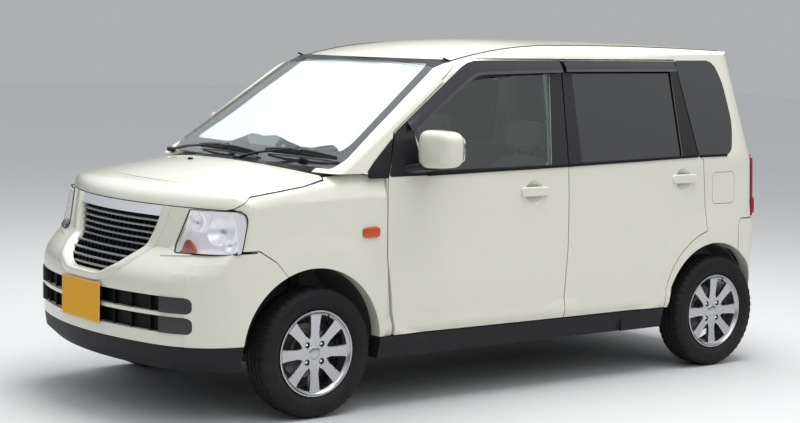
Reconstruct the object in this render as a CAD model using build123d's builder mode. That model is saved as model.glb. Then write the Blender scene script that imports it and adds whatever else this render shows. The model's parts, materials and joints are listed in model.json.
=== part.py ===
from build123d import *
import math
import os

os.makedirs("parts", exist_ok=True)

# A small five-door car. X runs forward, Y to the car's left and Z up.
# The origin is on the ground, under the middle of the car's length.

# --- Driving dimensions, mm -------------------------------------------------
LENGTH = 3395.0
WIDTH = 1475.0
ROOF_Z = 1550.0
WHEELBASE = 2340.0
FRONT_OVERHANG = 684.0
TRACK = 1295.0
SIDE_BOW = 35000.0
SHUT_GAP = 6.0

NOSE_X = LENGTH / 2
TAIL_X = -LENGTH / 2
HALF_WIDTH = WIDTH / 2
FRONT_AXLE_X = NOSE_X - FRONT_OVERHANG
REAR_AXLE_X = FRONT_AXLE_X - WHEELBASE

# Panel thicknesses
DOOR_T = 60.0
FRAME_T = 36.0
SCREEN_T = 60.0
TAILGATE_T = 50.0
ROOF_T = 30.0
FENDER_T = 45.0
BUMPER_T = 30.0
BONNET_T = 30.0
SEAL_GAP = 0.5
GLASS_INSET = 8.0
GLASS_T = 4.0
GLASS_EDGE = 0.5

# Heights
BELT_Z = 985.0
SILL_TOP_Z = 311.0
SILL_BOTTOM_Z = 218.0
FLOOR_Z = 230.0
FLOOR_T = 32.0
REAR_FLOOR_Z = 430.0
REAR_FLOOR_T = 20.0

# Wheels: 155/65R13 tyres on 4.5 inch rims
TYRE_R = 266.0
TYRE_W = 155.0
BEAD_R = 165.0
RIM_LIP_R = 178.0
RIM_W = 127.0
RIM_T = 6.0
HUB_R = 62.0
HUB_BORE_R = 16.0
SPINDLE_CLEARANCE = 0.3
LUG_PCD = 100.0
LUG_COUNT = 4
LUG_HOLE_R = 6.5
SPOKE_COUNT = 8
SPOKE_START_DEG = 0.0
SPOKE_T = 14.0
ARCH_R = 326.0
FRONT_ARCH = (FRONT_AXLE_X + 18.5, 290.0)
REAR_ARCH = (REAR_AXLE_X + 16.5, 274.0)
FLARE_CREST_R = 385.0
FLARE_PROUD = 13.0
FLARE_FADE = 90.0
FLARE_Z_DROP = 385.0
FLARE_ROOT = 150.0
FLARE_REACH = 640.0
FLARE_IN_Y = 600.0
FLARE_ZS = (210.0, 820.0)
TAIL_FLARE_ZS = (268.0, 708.0)

# Door handles: a grip over a scoop
GRIP_L = 156.0
GRIP_H = 42.0
GRIP_CORNER_R = 14.0
GRIP_EDGE_R = 6.0
GRIP_PROUD = 13.0
GRIP_SINK = 5.0
SCOOP_R = 75.0
SCOOP_DEPTH = 22.0

# Steering axis, as two points on the left side
BALL_JOINT = (FRONT_AXLE_X, 575.0, 190.0)
STRUT_TOP = (FRONT_AXLE_X - 22.0, 468.0, 745.0)
BALL_R = 14.0

# Steering wheel
STEER_CENTRE = (395.0, -335.0, 905.0)
STEER_RAKE = 28.0
STEER_R = 180.0
STEER_RIM_R = 14.0

# --- Skin tables -----------------------------------------------------------
# z, screen x, half width, tail x, side thickness
CABIN_ROWS = [
    (SILL_BOTTOM_Z, 985.0, 700.0, -1672.0, DOOR_T),
    (312.0, 985.0, 722.0, -1672.0, DOOR_T),
    (338.0, 985.0, 733.0, -1672.0, DOOR_T),
    (362.0, 985.0, 733.0, -1672.0, DOOR_T),
    (402.0, 985.0, 722.0, -1672.0, DOOR_T),
    (440.0, 985.0, 724.0, -1672.0, DOOR_T),
    (640.0, 985.0, 731.0, -1672.0, DOOR_T),
    (BELT_Z, 985.0, 717.0, -1665.0, DOOR_T),
    (1012.0, 946.4, 712.4, -1663.0, FRAME_T),
    (1570.0, 149.7, 617.5, -1520.0, FRAME_T),
]
SCREEN_R = 5500.0
SCREEN_CORNER_R = 60.0
TAIL_R = 7000.0
TAIL_CORNER_R = 110.0

# z, nose x, nose plan radius, nose corner radius, half width
NOSE_ROWS = [
    (218.0, NOSE_X - 57.5, 1750.0, 280.0, 690.0),
    (262.0, NOSE_X - 8.5, 1750.0, 280.0, 704.0),
    (330.0, NOSE_X, 1750.0, 280.0, 719.0),
    (560.0, NOSE_X, 1750.0, 280.0, 729.0),
    (600.0, NOSE_X - 13.5, 1750.0, 270.0, 730.0),
    (645.0, NOSE_X - 52.5, 1700.0, 220.0, 731.0),
    (690.0, NOSE_X - 107.5, 1650.0, 140.0, 730.0),
    (850.0, NOSE_X - 140.5, 1600.0, 120.0, 725.5),
    (878.0, NOSE_X - 147.5, 1600.0, 120.0, 724.0),
    (900.0, NOSE_X - 162.5, 1600.0, 120.0, 722.5),
    (917.0, NOSE_X - 190.5, 1600.0, 120.0, 721.5),
    (929.0, NOSE_X - 230.5, 1600.0, 120.0, 721.0),
    (935.0, NOSE_X - 275.5, 1600.0, 120.0, 720.5),
    (1040.0, NOSE_X - 300.0, 1600.0, 120.0, 712.0),
]
NOSE_BACK_X = 600.0

# z, tail x, half width, corner radius
TAIL_ROWS = [
    (262.0, TAIL_X + 27.5, 704.0, 150.0),
    (330.0, TAIL_X + 7.5, 719.0, 150.0),
    (560.0, TAIL_X, 729.0, 150.0),
    (645.0, TAIL_X, 731.0, 150.0),
    (675.0, TAIL_X + 8.0, 730.5, 140.0),
    (714.0, TAIL_X + 25.5, 730.0, 125.0),
]
TAIL_FRONT_X = -1000.0

# Roof profile, x and z: arc ends and middles in turn
ROOF_PROFILE = [
    (700.0, -250.0), (230.0, -78.0), (-300.0, -5.0), (-750.0, 0.0),
    (-1400.0, -9.0), (-1650.0, -22.0), (-1900.0, -50.0),
]
ROOF_CROWN_R = 7000.0
ROOF_CROWN_Y = 556.0
ROOF_ROLL_R = 80.0
ROOF_ROLL_DEG = 75.0

# Bonnet profile, x and z
BONNET_PROFILE = [(500.0, 1046.0), (1013.0, 1006.0), (1750.0, 860.0)]
BONNET_CROWN_R = 5120.0
BONNET_CROWN_Y = 640.0
BONNET_ROLL_R = 70.0
BONNET_ROLL_DEG = 70.0


def plan_outline(z, front_x, front_r, front_corner, half_y, back_x, back_r, back_corner):
    """The car's plan outline at one height, as a face."""
    centre_y = half_y - SIDE_BOW

    def side_y(x):
        return centre_y + math.sqrt(SIDE_BOW**2 - x**2)

    front_side_x = front_x - front_r + math.sqrt(front_r**2 - half_y**2)
    back_side_x = back_x
    if back_r:
        back_side_x = back_x + back_r - math.sqrt(back_r**2 - half_y**2)
    mid_x = (front_side_x + back_side_x) / 2
    front_left = (front_side_x, side_y(front_side_x))
    back_left = (back_side_x, side_y(back_side_x))
    front_right = (front_left[0], -front_left[1])
    back_right = (back_left[0], -back_left[1])
    with BuildSketch(Plane.XY.offset(z)) as sketch:
        with BuildLine():
            ThreePointArc(front_right, (front_x, 0), front_left)
            ThreePointArc(front_left, (mid_x, side_y(mid_x)), back_left)
            if back_r:
                ThreePointArc(back_left, (back_x, 0), back_right)
            else:
                Line(back_left, back_right)
            ThreePointArc(back_right, (mid_x, -side_y(mid_x)), front_right)
        make_face()
        if front_corner:
            fillet(sketch.vertices().sort_by(Axis.X)[-2:], front_corner)
        if back_corner:
            fillet(sketch.vertices().sort_by(Axis.X)[:2], back_corner)
    return sketch.sketch


def roll_tunnel(profile, crown_r, crown_y, roll_r, roll_deg, depth):
    """A long solid with a crowned, rolled-edge section, swept along an x-z profile."""
    with BuildLine(Plane.XZ) as path:
        for k in range(0, len(profile) - 2, 2):
            ThreePointArc(profile[k], profile[k + 1], profile[k + 2])
    start = Plane(origin=path.line @ 0, x_dir=(0, 1, 0), z_dir=path.line % 0)
    up = 1 if start.y_dir.Z > 0 else -1
    crown_a = math.asin(crown_y / crown_r)
    drop = crown_r - math.sqrt(crown_r**2 - crown_y**2)
    roll_y = crown_y - roll_r * math.sin(crown_a)
    roll_z = -drop - roll_r * math.cos(crown_a)
    end_a = math.radians(roll_deg)
    mid_a = (crown_a + end_a) / 2
    roll = [(roll_y + roll_r * math.sin(a), roll_z + roll_r * math.cos(a)) for a in (crown_a, mid_a, end_a)]
    foot_y = roll[2][0] + depth / math.tan(end_a)
    foot_z = roll[2][1] - depth
    with BuildSketch(start) as section:
        with BuildLine():
            ThreePointArc((-crown_y, -up * drop), (0, 0), (crown_y, -up * drop))
            for side in (1, -1):
                ThreePointArc(*[(side * y, up * z) for y, z in roll])
                Line((side * roll[2][0], up * roll[2][1]), (side * foot_y, up * foot_z))
            Line((-foot_y, up * foot_z), (foot_y, up * foot_z))
        make_face()
    with BuildPart() as tunnel:
        sweep(sections=section.sketch, path=path.line)
    return tunnel.part


def roof_mould(drop):
    """What lies above the roof surface, lowered by drop."""
    profile = [(x, ROOF_Z + dz - drop) for x, dz in ROOF_PROFILE]
    tunnel = roll_tunnel(profile, ROOF_CROWN_R, ROOF_CROWN_Y, ROOF_ROLL_R, ROOF_ROLL_DEG, 300.0)
    with BuildPart() as mould:
        with Locations((-660, 0, 1500)):
            Box(2300, 1700, 260)
        add(tunnel, mode=Mode.SUBTRACT)
    return mould.part


def cabin_skin(side_in, side_follow, front_in, tail_in, drop):
    """The cabin's outer form, moved in by the given amounts."""
    with BuildPart() as skin:
        for z, front_x, half_y, tail_x, side_t in CABIN_ROWS:
            side = side_in + side_follow * side_t
            corner = max(SCREEN_CORNER_R - front_in, 25.0)
            tail_corner = max(TAIL_CORNER_R - tail_in, 40.0)
            add(plan_outline(z, front_x - front_in, SCREEN_R, corner, half_y - side,
                             tail_x + tail_in, TAIL_R, tail_corner))
        loft(ruled=True)
        add(roof_mould(drop), mode=Mode.SUBTRACT)
    return skin.part


def nose_skin(side_in, front_in, drop, proud=0.0):
    """The front end's outer form, moved in by the given amounts."""
    profile = [(x, z - drop) for x, z in BONNET_PROFILE]
    crown_y = BONNET_CROWN_Y - side_in
    tunnel = roll_tunnel(profile, BONNET_CROWN_R, crown_y, BONNET_ROLL_R, BONNET_ROLL_DEG, 300.0)
    with BuildPart() as mould:
        with Locations((1150, 0, 1000)):
            Box(1100, 1700, 300)
        add(tunnel, mode=Mode.SUBTRACT)
    with BuildPart() as skin:
        for z, nose_x, nose_r, corner, half_y in NOSE_ROWS:
            add(plan_outline(z, nose_x - front_in, nose_r, max(corner - front_in, 30.0),
                             half_y - side_in + proud, NOSE_BACK_X, 0, 0))
        loft(ruled=True)
        add(mould.part, mode=Mode.SUBTRACT)
    return skin.part


def tail_skin(side_in, tail_in):
    """The rear bumper's outer form, moved in by the given amounts."""
    with BuildPart() as skin:
        for z, tail_x, half_y, corner in TAIL_ROWS:
            add(plan_outline(z, TAIL_FRONT_X, 60000.0, 0, half_y - side_in,
                             tail_x + tail_in, TAIL_R, max(corner - tail_in, 40.0)))
        loft(ruled=True)
    return skin.part


def shell_between(outer, inner):
    """The wall between two skins."""
    with BuildPart() as wall:
        add(outer)
        add(inner, mode=Mode.SUBTRACT)
    return wall.part


def outline(points, radius=0.0, grow=0.0):
    """A flat outline in its own x and y, its corners rounded, then moved out by grow."""
    with BuildSketch() as face:
        with BuildLine():
            Polyline(*points, close=True)
        make_face()
        if radius:
            fillet(face.vertices(), radius)
        if grow:
            offset(amount=grow, kind=Kind.INTERSECTION)
    return face.sketch


def across(face, y_from, y_to):
    """A side-view outline carried from y_from to y_to."""
    with BuildPart() as prism:
        with BuildSketch(Plane.XZ.offset(-y_to)):
            add(face)
        extrude(amount=y_to - y_from)
    return prism.part


def along(face, x_from, x_to):
    """A front-view outline carried from x_from to x_to."""
    with BuildPart() as prism:
        with BuildSketch(Plane.YZ.offset(x_from)):
            add(face)
        extrude(amount=x_to - x_from)
    return prism.part


def upward(face, z_from, z_to):
    """A plan outline carried from z_from to z_to."""
    with BuildPart() as prism:
        with BuildSketch(Plane.XY.offset(z_from)):
            add(face)
        extrude(amount=z_to - z_from)
    return prism.part


def disc_y(x, z, r, y_from, y_to):
    """A round plug across the car."""
    with BuildPart() as plug:
        with BuildSketch(Plane.XZ.offset(-y_to)):
            with Locations((x, z)):
                Circle(r)
        extrude(amount=y_to - y_from)
    return plug.part


def block(x_from, x_to, y_from, y_to, z_from, z_to):
    """A plain box between two corners."""
    with BuildPart() as box:
        with Locations(((x_from + x_to) / 2, (y_from + y_to) / 2, (z_from + z_to) / 2)):
            Box(x_to - x_from, y_to - y_from, z_to - z_from)
    return box.part


def both_sides(part):
    """A left-hand solid with its mirror image."""
    with BuildPart() as pair:
        add(part)
        mirror(part, about=Plane.XZ)
    return pair.part


def right_hand(part):
    """The mirror image of a left-hand solid."""
    with BuildPart() as right:
        mirror(part, about=Plane.XZ)
    return right.part


def skin_y(x, z):
    """How far out the cabin's left side lies at one place."""
    for below, above in zip(CABIN_ROWS, CABIN_ROWS[1:]):
        if below[0] <= z <= above[0]:
            half = below[2] + (above[2] - below[2]) * (z - below[0]) / (above[0] - below[0])
    return half - SIDE_BOW + math.sqrt(SIDE_BOW**2 - x**2)


# --- Panel outlines --------------------------------------------------------
FRONT_DOOR_X = FRONT_AXLE_X - 336.5
PILLAR_X = FRONT_AXLE_X - 1344.5
DOOR_TOP_Z = 1464.0
HALF_GAP = SHUT_GAP / 2
SIDE_REACH = 900.0
DOOR_REACH_IN = 592.0

FRONT_DOOR = [
    (FRONT_DOOR_X - 37, SILL_TOP_Z), (FRONT_DOOR_X, 647), (FRONT_DOOR_X - 3, 963),
    (FRONT_DOOR_X - 50, 1155), (FRONT_DOOR_X - 469, 1460), (PILLAR_X + 2, DOOR_TOP_Z),
    (PILLAR_X, BELT_Z), (PILLAR_X - 3, 850), (PILLAR_X, 620), (PILLAR_X + 8, 400), (PILLAR_X + 10, SILL_TOP_Z),
]
FRONT_WINDOW = [
    (535, 1173), (201, 1372), (94, 1389), (-267, 1404), (-237, 998), (445, 972),
]
REAR_WINDOW = [(-388, 1412), (-1049, 1422), (-1087, 1017), (-409, 1003)]
QUARTER_WINDOW = [
    (-1098, 1462), (-1305, 1466), (-1385, 1396), (-1442, 1152), (-1398, 1025), (-1206, 1024),
]
WINDOW_CORNER_R = 14.0
FUEL_LID = [(-1290, 785), (-1290, 939), (-1452, 939), (-1452, 785)]
FUEL_LID_R = 28.0


def rear_door(grow):
    """The rear door's outline, with its wheel cut-out."""
    with BuildSketch() as face:
        with BuildLine():
            Polyline((PILLAR_X + 10, SILL_TOP_Z), (PILLAR_X + 8, 400), (PILLAR_X, 620), (PILLAR_X - 3, 850),
                     (PILLAR_X, BELT_Z), (PILLAR_X - 4, DOOR_TOP_Z), (REAR_AXLE_X + 254, DOOR_TOP_Z + 6),
                     (REAR_AXLE_X + 134, 1021), (REAR_AXLE_X + 102, 1000), (REAR_AXLE_X + 80, 658))
            ThreePointArc((REAR_AXLE_X + 80, 658), (REAR_AXLE_X + 279, 537), (REAR_AXLE_X + 366, SILL_TOP_Z))
            Line((REAR_AXLE_X + 366, SILL_TOP_Z), (PILLAR_X + 10, SILL_TOP_Z))
        make_face()
        offset(amount=grow, kind=Kind.INTERSECTION)
    return face.sketch


# --- Skins and walls -------------------------------------------------------
def flare_cone(centre):
    """The flat cone along which a wheel arch's flare fades out, on the left side."""
    lean = math.asin(centre[0] / SIDE_BOW)
    crest_y = skin_y(centre[0], BELT_Z - FLARE_Z_DROP) + FLARE_PROUD
    out = Plane(origin=(centre[0], crest_y, centre[1]), x_dir=(math.cos(lean), -math.sin(lean), 0),
                z_dir=(math.sin(lean), math.cos(lean), 0))
    depth = FLARE_PROUD * 2.5
    foot_r = FLARE_CREST_R + FLARE_FADE * 2.5
    with BuildPart() as cone:
        with BuildSketch(out.offset(-depth)):
            Circle(foot_r)
        with BuildSketch(out):
            Circle(FLARE_CREST_R)
        loft()
        with BuildSketch(out.offset(-depth)):
            Circle(foot_r)
        extrude(amount=-FLARE_ROOT)
    return cone.part


def flares(centre, wide, inner, z_low, z_high):
    """The raised lips of both wheel arches at one axle, between a wall's inner form and its wide one."""
    with BuildPart() as lip:
        add(flare_cone(centre))
        add(block(centre[0] - FLARE_REACH, centre[0] + FLARE_REACH, FLARE_IN_Y, SIDE_REACH, z_low, z_high),
            mode=Mode.INTERSECT)
        add(wide, mode=Mode.INTERSECT)
        add(inner, mode=Mode.SUBTRACT)
    return both_sides(lip.part)


def flared(wall, lips):
    """A wall with its wheel-arch lips raised on it."""
    with BuildPart() as result:
        add(wall)
        for lip in lips:
            add(lip)
    return result.part


cabin_outer = cabin_skin(0, 0, 0, 0, 0)
cabin_inner = cabin_skin(0, 1, SCREEN_T, TAILGATE_T, ROOF_T)
cabin_wide = cabin_skin(-FLARE_PROUD, 0, 0, 0, 0)
cabin_plain = shell_between(cabin_outer, cabin_inner)
cabin_lips = [flares(centre, cabin_wide, cabin_inner, *FLARE_ZS) for centre in (FRONT_ARCH, REAR_ARCH)]
cabin_wall = flared(cabin_plain, cabin_lips)
glass_outer = cabin_skin(GLASS_INSET, 0, GLASS_INSET * 1.6, GLASS_INSET, GLASS_INSET)
glass_inner = cabin_skin(GLASS_INSET + GLASS_T, 0, (GLASS_INSET + GLASS_T) * 1.6,
                         GLASS_INSET + GLASS_T, GLASS_INSET + GLASS_T)
glass_wall = shell_between(glass_outer, glass_inner)
post_outer = cabin_skin(SEAL_GAP, 1, SCREEN_T + SEAL_GAP, TAILGATE_T + SEAL_GAP, ROOF_T + SEAL_GAP)
post_inner = cabin_skin(40.0, 1, SCREEN_T + 40.0, TAILGATE_T + 40.0, ROOF_T + 40.0)
thick_wall = flared(shell_between(cabin_outer, post_inner), [flares(REAR_ARCH, cabin_wide, post_inner, *FLARE_ZS)])
nose_outer = nose_skin(0, 0, 0)
nose_inner = nose_skin(FENDER_T, BUMPER_T, BONNET_T)
nose_wide = nose_skin(-FLARE_PROUD, 0, 0)
nose_wall = flared(shell_between(nose_outer, nose_inner), [flares(FRONT_ARCH, nose_wide, nose_inner, *FLARE_ZS)])
tail_outer = tail_skin(0, 0)
tail_inner = tail_skin(FENDER_T, BUMPER_T)
tail_wide = tail_skin(-FLARE_PROUD, 0)
tail_wall = flared(shell_between(tail_outer, tail_inner), [flares(REAR_ARCH, tail_wide, tail_inner, *TAIL_FLARE_ZS)])

# --- Doors and their glass -------------------------------------------------
def grip(x, z):
    """A door's pull grip, which spans its scoop."""
    with BuildPart() as bar:
        with BuildSketch(Plane.XZ.offset(-skin_y(x, z) - GRIP_PROUD)):
            with Locations((x, z)):
                RectangleRounded(GRIP_L, GRIP_H, GRIP_CORNER_R)
        extrude(amount=GRIP_PROUD + GRIP_SINK)
        fillet(bar.faces().sort_by(Axis.Y)[-1].edges(), GRIP_EDGE_R)
    return bar.part


DOORS = [  # node, outline, window, handle's x and z
    ("front", outline(FRONT_DOOR, grow=-HALF_GAP), FRONT_WINDOW, -126.0, 886.0),
    ("rear", rear_door(-HALF_GAP), REAR_WINDOW, -1084.0, 914.0),
]
for name, face, window, handle_x, handle_z in DOORS:
    with BuildPart() as door_left:
        add(cabin_wall)
        add(across(face, DOOR_REACH_IN, SIDE_REACH), mode=Mode.INTERSECT)
        add(across(outline(window, WINDOW_CORNER_R), 400, SIDE_REACH), mode=Mode.SUBTRACT)
        with Locations((handle_x, skin_y(handle_x, handle_z) + SCOOP_R - SCOOP_DEPTH, handle_z)):
            Sphere(SCOOP_R, mode=Mode.SUBTRACT)
        add(grip(handle_x, handle_z))
    door_left.part.label = f"door_{name}_left"
    export_step(door_left.part, f"parts/door_{name}_left.step")
    with BuildPart() as door_right:
        mirror(door_left.part, about=Plane.XZ)
    door_right.part.label = f"door_{name}_right"
    export_step(door_right.part, f"parts/door_{name}_right.step")
    with BuildPart() as glass_left:
        add(glass_wall)
        add(across(outline(window, WINDOW_CORNER_R, -GLASS_EDGE), 400, SIDE_REACH), mode=Mode.INTERSECT)
    glass_left.part.label = f"glass_{name}_left"
    export_step(glass_left.part, f"parts/glass_{name}_left.step")
    with BuildPart() as glass_right:
        mirror(glass_left.part, about=Plane.XZ)
    glass_right.part.label = f"glass_{name}_right"
    export_step(glass_right.part, f"parts/glass_{name}_right.step")

# --- Body sides ------------------------------------------------------------
ROOF_SEAM_Y = 555.0
TAILGATE_X = TAIL_X + 213.5
TAILGATE_FACE = [(-575, 711), (575, 711), (575, 1020), (545, 1600), (-545, 1600)]
SCREEN_FACE = [(-556, 1454), (556, 1454), (678, 1004), (-678, 1004)]
SCREEN_CORNER = 40.0
TAIL_LAMP_FACE = [(583, 717), (800, 717), (800, 1016), (583, 1016)]
TAIL_LAMP_X = TAIL_X + 118.0
FENDER_TOP = [
    (FRONT_DOOR_X + 6, 966), (800, 985), (905, 1016), (960, 1003), (972, 957),
    (1075, 937), (1319, 903), (1388, 858),
]
BUMPER_SEAM = [(1372, 697), (1289, 697), (1221, 652), (1163, 586)]
FENDER_FACE = [(FRONT_DOOR_X + 3, SILL_TOP_Z)] + FENDER_TOP + [(1363, 855)] + BUMPER_SEAM + [(1163, SILL_TOP_Z)]
FRONT_BUMPER_FACE = [
    (1163, 322), (1163, 583), (1223, 648), (1291, 692), (1378, 692), (1378, 852), (1760, 852), (1760, 322),
]
REAR_BUMPER_FACE = [(-1480, 345), (-1480, 667), (-1503, 705), (-1760, 705), (-1760, 345)]
TAILGATE_WINDOW = [(-500, 1035), (500, 1035), (470, 1440), (-470, 1440)]
TAILGATE_WINDOW_R = 45.0

OPENING_IN = 42.0
POST_T = 40.0
BODY_REGION = [
    (FRONT_DOOR_X + 3, 966), (800, 988), (1000, 988), (1000, 1700), (-1760, 1700), (-1760, 717), (-1500, 711),
    (-1474, 670), (-1474, FLOOR_Z + FLOOR_T), (FRONT_DOOR_X + 3, FLOOR_Z + FLOOR_T),
]


def rebate(prism):
    """The part of a door-shaped prism that lies outside the frame the door shuts on."""
    with BuildPart() as void:
        add(prism)
        add(post_outer, mode=Mode.SUBTRACT)
    return void.part


with BuildPart() as body_left:
    add(thick_wall)
    add(across(outline(BODY_REGION), ROOF_SEAM_Y, SIDE_REACH), mode=Mode.INTERSECT)
    add(rebate(across(outline(FRONT_DOOR, grow=HALF_GAP), 590, SIDE_REACH)), mode=Mode.SUBTRACT)
    add(rebate(across(rear_door(HALF_GAP), 590, SIDE_REACH)), mode=Mode.SUBTRACT)
    add(rebate(block(-1100, 800, 500, 900, 200, SILL_TOP_Z)), mode=Mode.SUBTRACT)
    add(rebate(along(outline(TAILGATE_FACE, grow=SHUT_GAP), -1800, TAILGATE_X)), mode=Mode.SUBTRACT)
    add(across(outline(FRONT_DOOR, grow=-OPENING_IN), 400, SIDE_REACH), mode=Mode.SUBTRACT)
    add(across(rear_door(-OPENING_IN), 400, SIDE_REACH), mode=Mode.SUBTRACT)
    add(along(outline(TAILGATE_FACE, grow=-25), -1800, TAILGATE_X), mode=Mode.SUBTRACT)
    add(along(outline(SCREEN_FACE, SCREEN_CORNER), 200, 1100), mode=Mode.SUBTRACT)
    add(along(outline(TAIL_LAMP_FACE, grow=0.4), -1800, TAIL_LAMP_X), mode=Mode.SUBTRACT)
    add(across(outline(QUARTER_WINDOW, 30), 400, SIDE_REACH), mode=Mode.SUBTRACT)
    add(disc_y(REAR_ARCH[0], REAR_ARCH[1], ARCH_R, 400, SIDE_REACH), mode=Mode.SUBTRACT)
    add(across(outline(FUEL_LID, FUEL_LID_R), 670, SIDE_REACH), mode=Mode.SUBTRACT)
    add(block(-1320, -1298, 668, 690.2, 850, 874))
body_left.part.label = "body_side_left"
export_step(body_left.part, "parts/body_side_left.step")
with BuildPart() as body_right:
    mirror(body_left.part, about=Plane.XZ)
body_right.part.label = "body_side_right"
export_step(body_right.part, "parts/body_side_right.step")

with BuildPart() as roof:
    add(cabin_wall)
    add(block(TAILGATE_X + HALF_GAP, 400, -ROOF_SEAM_Y, ROOF_SEAM_Y, 1380, 1600), mode=Mode.INTERSECT)
    add(along(outline(SCREEN_FACE, SCREEN_CORNER), 200, 1100), mode=Mode.SUBTRACT)
roof.part.label = "roof_panel"
export_step(roof.part, "parts/roof_panel.step")

with BuildPart() as tailgate:
    add(cabin_wall)
    add(along(outline(TAILGATE_FACE), -1800, TAILGATE_X - HALF_GAP), mode=Mode.INTERSECT)
    add(along(outline(TAILGATE_WINDOW, TAILGATE_WINDOW_R), -1800, -1300), mode=Mode.SUBTRACT)
tailgate.part.label = "tailgate"
export_step(tailgate.part, "parts/tailgate.step")

with BuildPart() as tailgate_glass:
    add(glass_wall)
    add(along(outline(TAILGATE_WINDOW, TAILGATE_WINDOW_R, -GLASS_EDGE), -1800, -1300), mode=Mode.INTERSECT)
tailgate_glass.part.label = "tailgate_glass"
export_step(tailgate_glass.part, "parts/tailgate_glass.step")

with BuildPart() as windscreen:
    add(glass_wall)
    add(along(outline(SCREEN_FACE, SCREEN_CORNER, -GLASS_EDGE), 200, 1100), mode=Mode.INTERSECT)
with BuildPart() as quarter_left:
    add(glass_wall)
    add(across(outline(QUARTER_WINDOW, 30, -GLASS_EDGE), 590, SIDE_REACH), mode=Mode.INTERSECT)
with BuildPart() as fixed_glass:
    add(windscreen.part)
    add(both_sides(quarter_left.part))
fixed_glass.part.label = "fixed_glass"
export_step(fixed_glass.part, "parts/fixed_glass.step")

with BuildPart() as tail_lamps:
    add(cabin_wall)
    add(along(outline(TAIL_LAMP_FACE), -1800, TAIL_LAMP_X - 0.4), mode=Mode.INTERSECT)
    mirror(about=Plane.XZ)
tail_lamps.part.label = "tail_lamps"
export_step(tail_lamps.part, "parts/tail_lamps.step")

# --- Front end -------------------------------------------------------------
BONNET_SIDE = [
    (900, 966), (972, 966), (1075, 943), (1319, 909), (1388, 864), (1410, 856), (1760, 856), (1760, 1150),
    (900, 1150),
]
LAMP_FACE = [(418, 668), (505, 676), (800, 692), (800, 838), (490, 850)]
LAMP_X = 1375.0
LAMP_T = 60.0
GRILLE_TOP_Z = 852.0
GRILLE_Z = 570.0
GRILLE_SIDE = [(130, GRILLE_Z), (236, 622), (300, 695), (332, 775), (348, GRILLE_TOP_Z)]
GRILLE_FACE = GRILLE_SIDE + [(-y, z) for y, z in reversed(GRILLE_SIDE)]
SLOT_ZS = [(372, 437), (452, 515)]
SLOT_Y = 625.0
SLOT_CORNER_R = 22.0

with BuildSketch() as bonnet_plan:
    with BuildLine():
        ThreePointArc((948, -610), (1013, 0), (948, 610))
        Polyline((948, 610), (985, 700), (1100, 800), (1760, 800),
                 (1760, -800), (1100, -800), (985, -700), (948, -610))
    make_face()

with BuildPart() as bonnet:
    add(nose_wall)
    add(across(outline(BONNET_SIDE), -SIDE_REACH, SIDE_REACH), mode=Mode.INTERSECT)
    add(upward(bonnet_plan.sketch, 800, 1150), mode=Mode.INTERSECT)
bonnet.part.label = "bonnet"
export_step(bonnet.part, "parts/bonnet.step")

with BuildPart() as fender_left:
    add(nose_wall)
    add(across(outline(FENDER_FACE), 643, SIDE_REACH), mode=Mode.INTERSECT)
    add(disc_y(FRONT_ARCH[0], FRONT_ARCH[1], ARCH_R, 400, SIDE_REACH), mode=Mode.SUBTRACT)
    with BuildSketch(Plane.XY.offset(958)):
        add(bonnet_plan.sketch)
        offset(amount=SHUT_GAP, kind=Kind.INTERSECTION)
    extrude(amount=200, mode=Mode.SUBTRACT)
with BuildPart() as fenders:
    add(both_sides(fender_left.part))
fenders.part.label = "fenders"
export_step(fenders.part, "parts/fenders.step")

with BuildPart() as front_bumper:
    add(nose_wall)
    add(across(outline(FRONT_BUMPER_FACE), -SIDE_REACH, SIDE_REACH), mode=Mode.INTERSECT)
    add(both_sides(along(outline(LAMP_FACE, 10, 1.0), 1300, 1800)), mode=Mode.SUBTRACT)
    add(along(outline(GRILLE_FACE), 1300, 1800), mode=Mode.SUBTRACT)
    for z_low, z_high in SLOT_ZS:
        slot = outline([(-SLOT_Y, z_low), (SLOT_Y, z_low), (SLOT_Y, z_high), (-SLOT_Y, z_high)], SLOT_CORNER_R)
        add(along(slot, 1300, 1800), mode=Mode.SUBTRACT)
    add(both_sides(disc_y(FRONT_ARCH[0], FRONT_ARCH[1], ARCH_R, 400, SIDE_REACH)), mode=Mode.SUBTRACT)
front_bumper.part.label = "front_bumper"
export_step(front_bumper.part, "parts/front_bumper.step")

with BuildPart() as rear_bumper:
    add(tail_wall)
    add(across(outline(REAR_BUMPER_FACE), -SIDE_REACH, SIDE_REACH), mode=Mode.INTERSECT)
    add(both_sides(disc_y(REAR_ARCH[0], REAR_ARCH[1], ARCH_R, 400, SIDE_REACH)), mode=Mode.SUBTRACT)
rear_bumper.part.label = "rear_bumper"
export_step(rear_bumper.part, "parts/rear_bumper.step")

# --- Grille, lamps, cowl and lower trim -------------------------------------
SLAT_COUNT = 9
SLAT_T = 10.0
CHROME_BAR_H = 42.0
FIRST_SLAT_Z = GRILLE_Z + 10
SLAT_PITCH = (GRILLE_TOP_Z - CHROME_BAR_H - FIRST_SLAT_Z) / SLAT_COUNT


def nose_band(front_in, side_in, z_low, z_high):
    """The nose's form between two heights, moved in, for what stands behind the bumper's face."""
    with BuildPart() as band:
        for z, nose_x, nose_r, corner, half_y in NOSE_ROWS:
            if z_low <= z <= z_high:
                add(plan_outline(z, nose_x - front_in, nose_r, max(corner - front_in, 30.0),
                                 half_y - side_in, 1200.0, 0, 0))
        loft(ruled=True)
    return band.part


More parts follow.
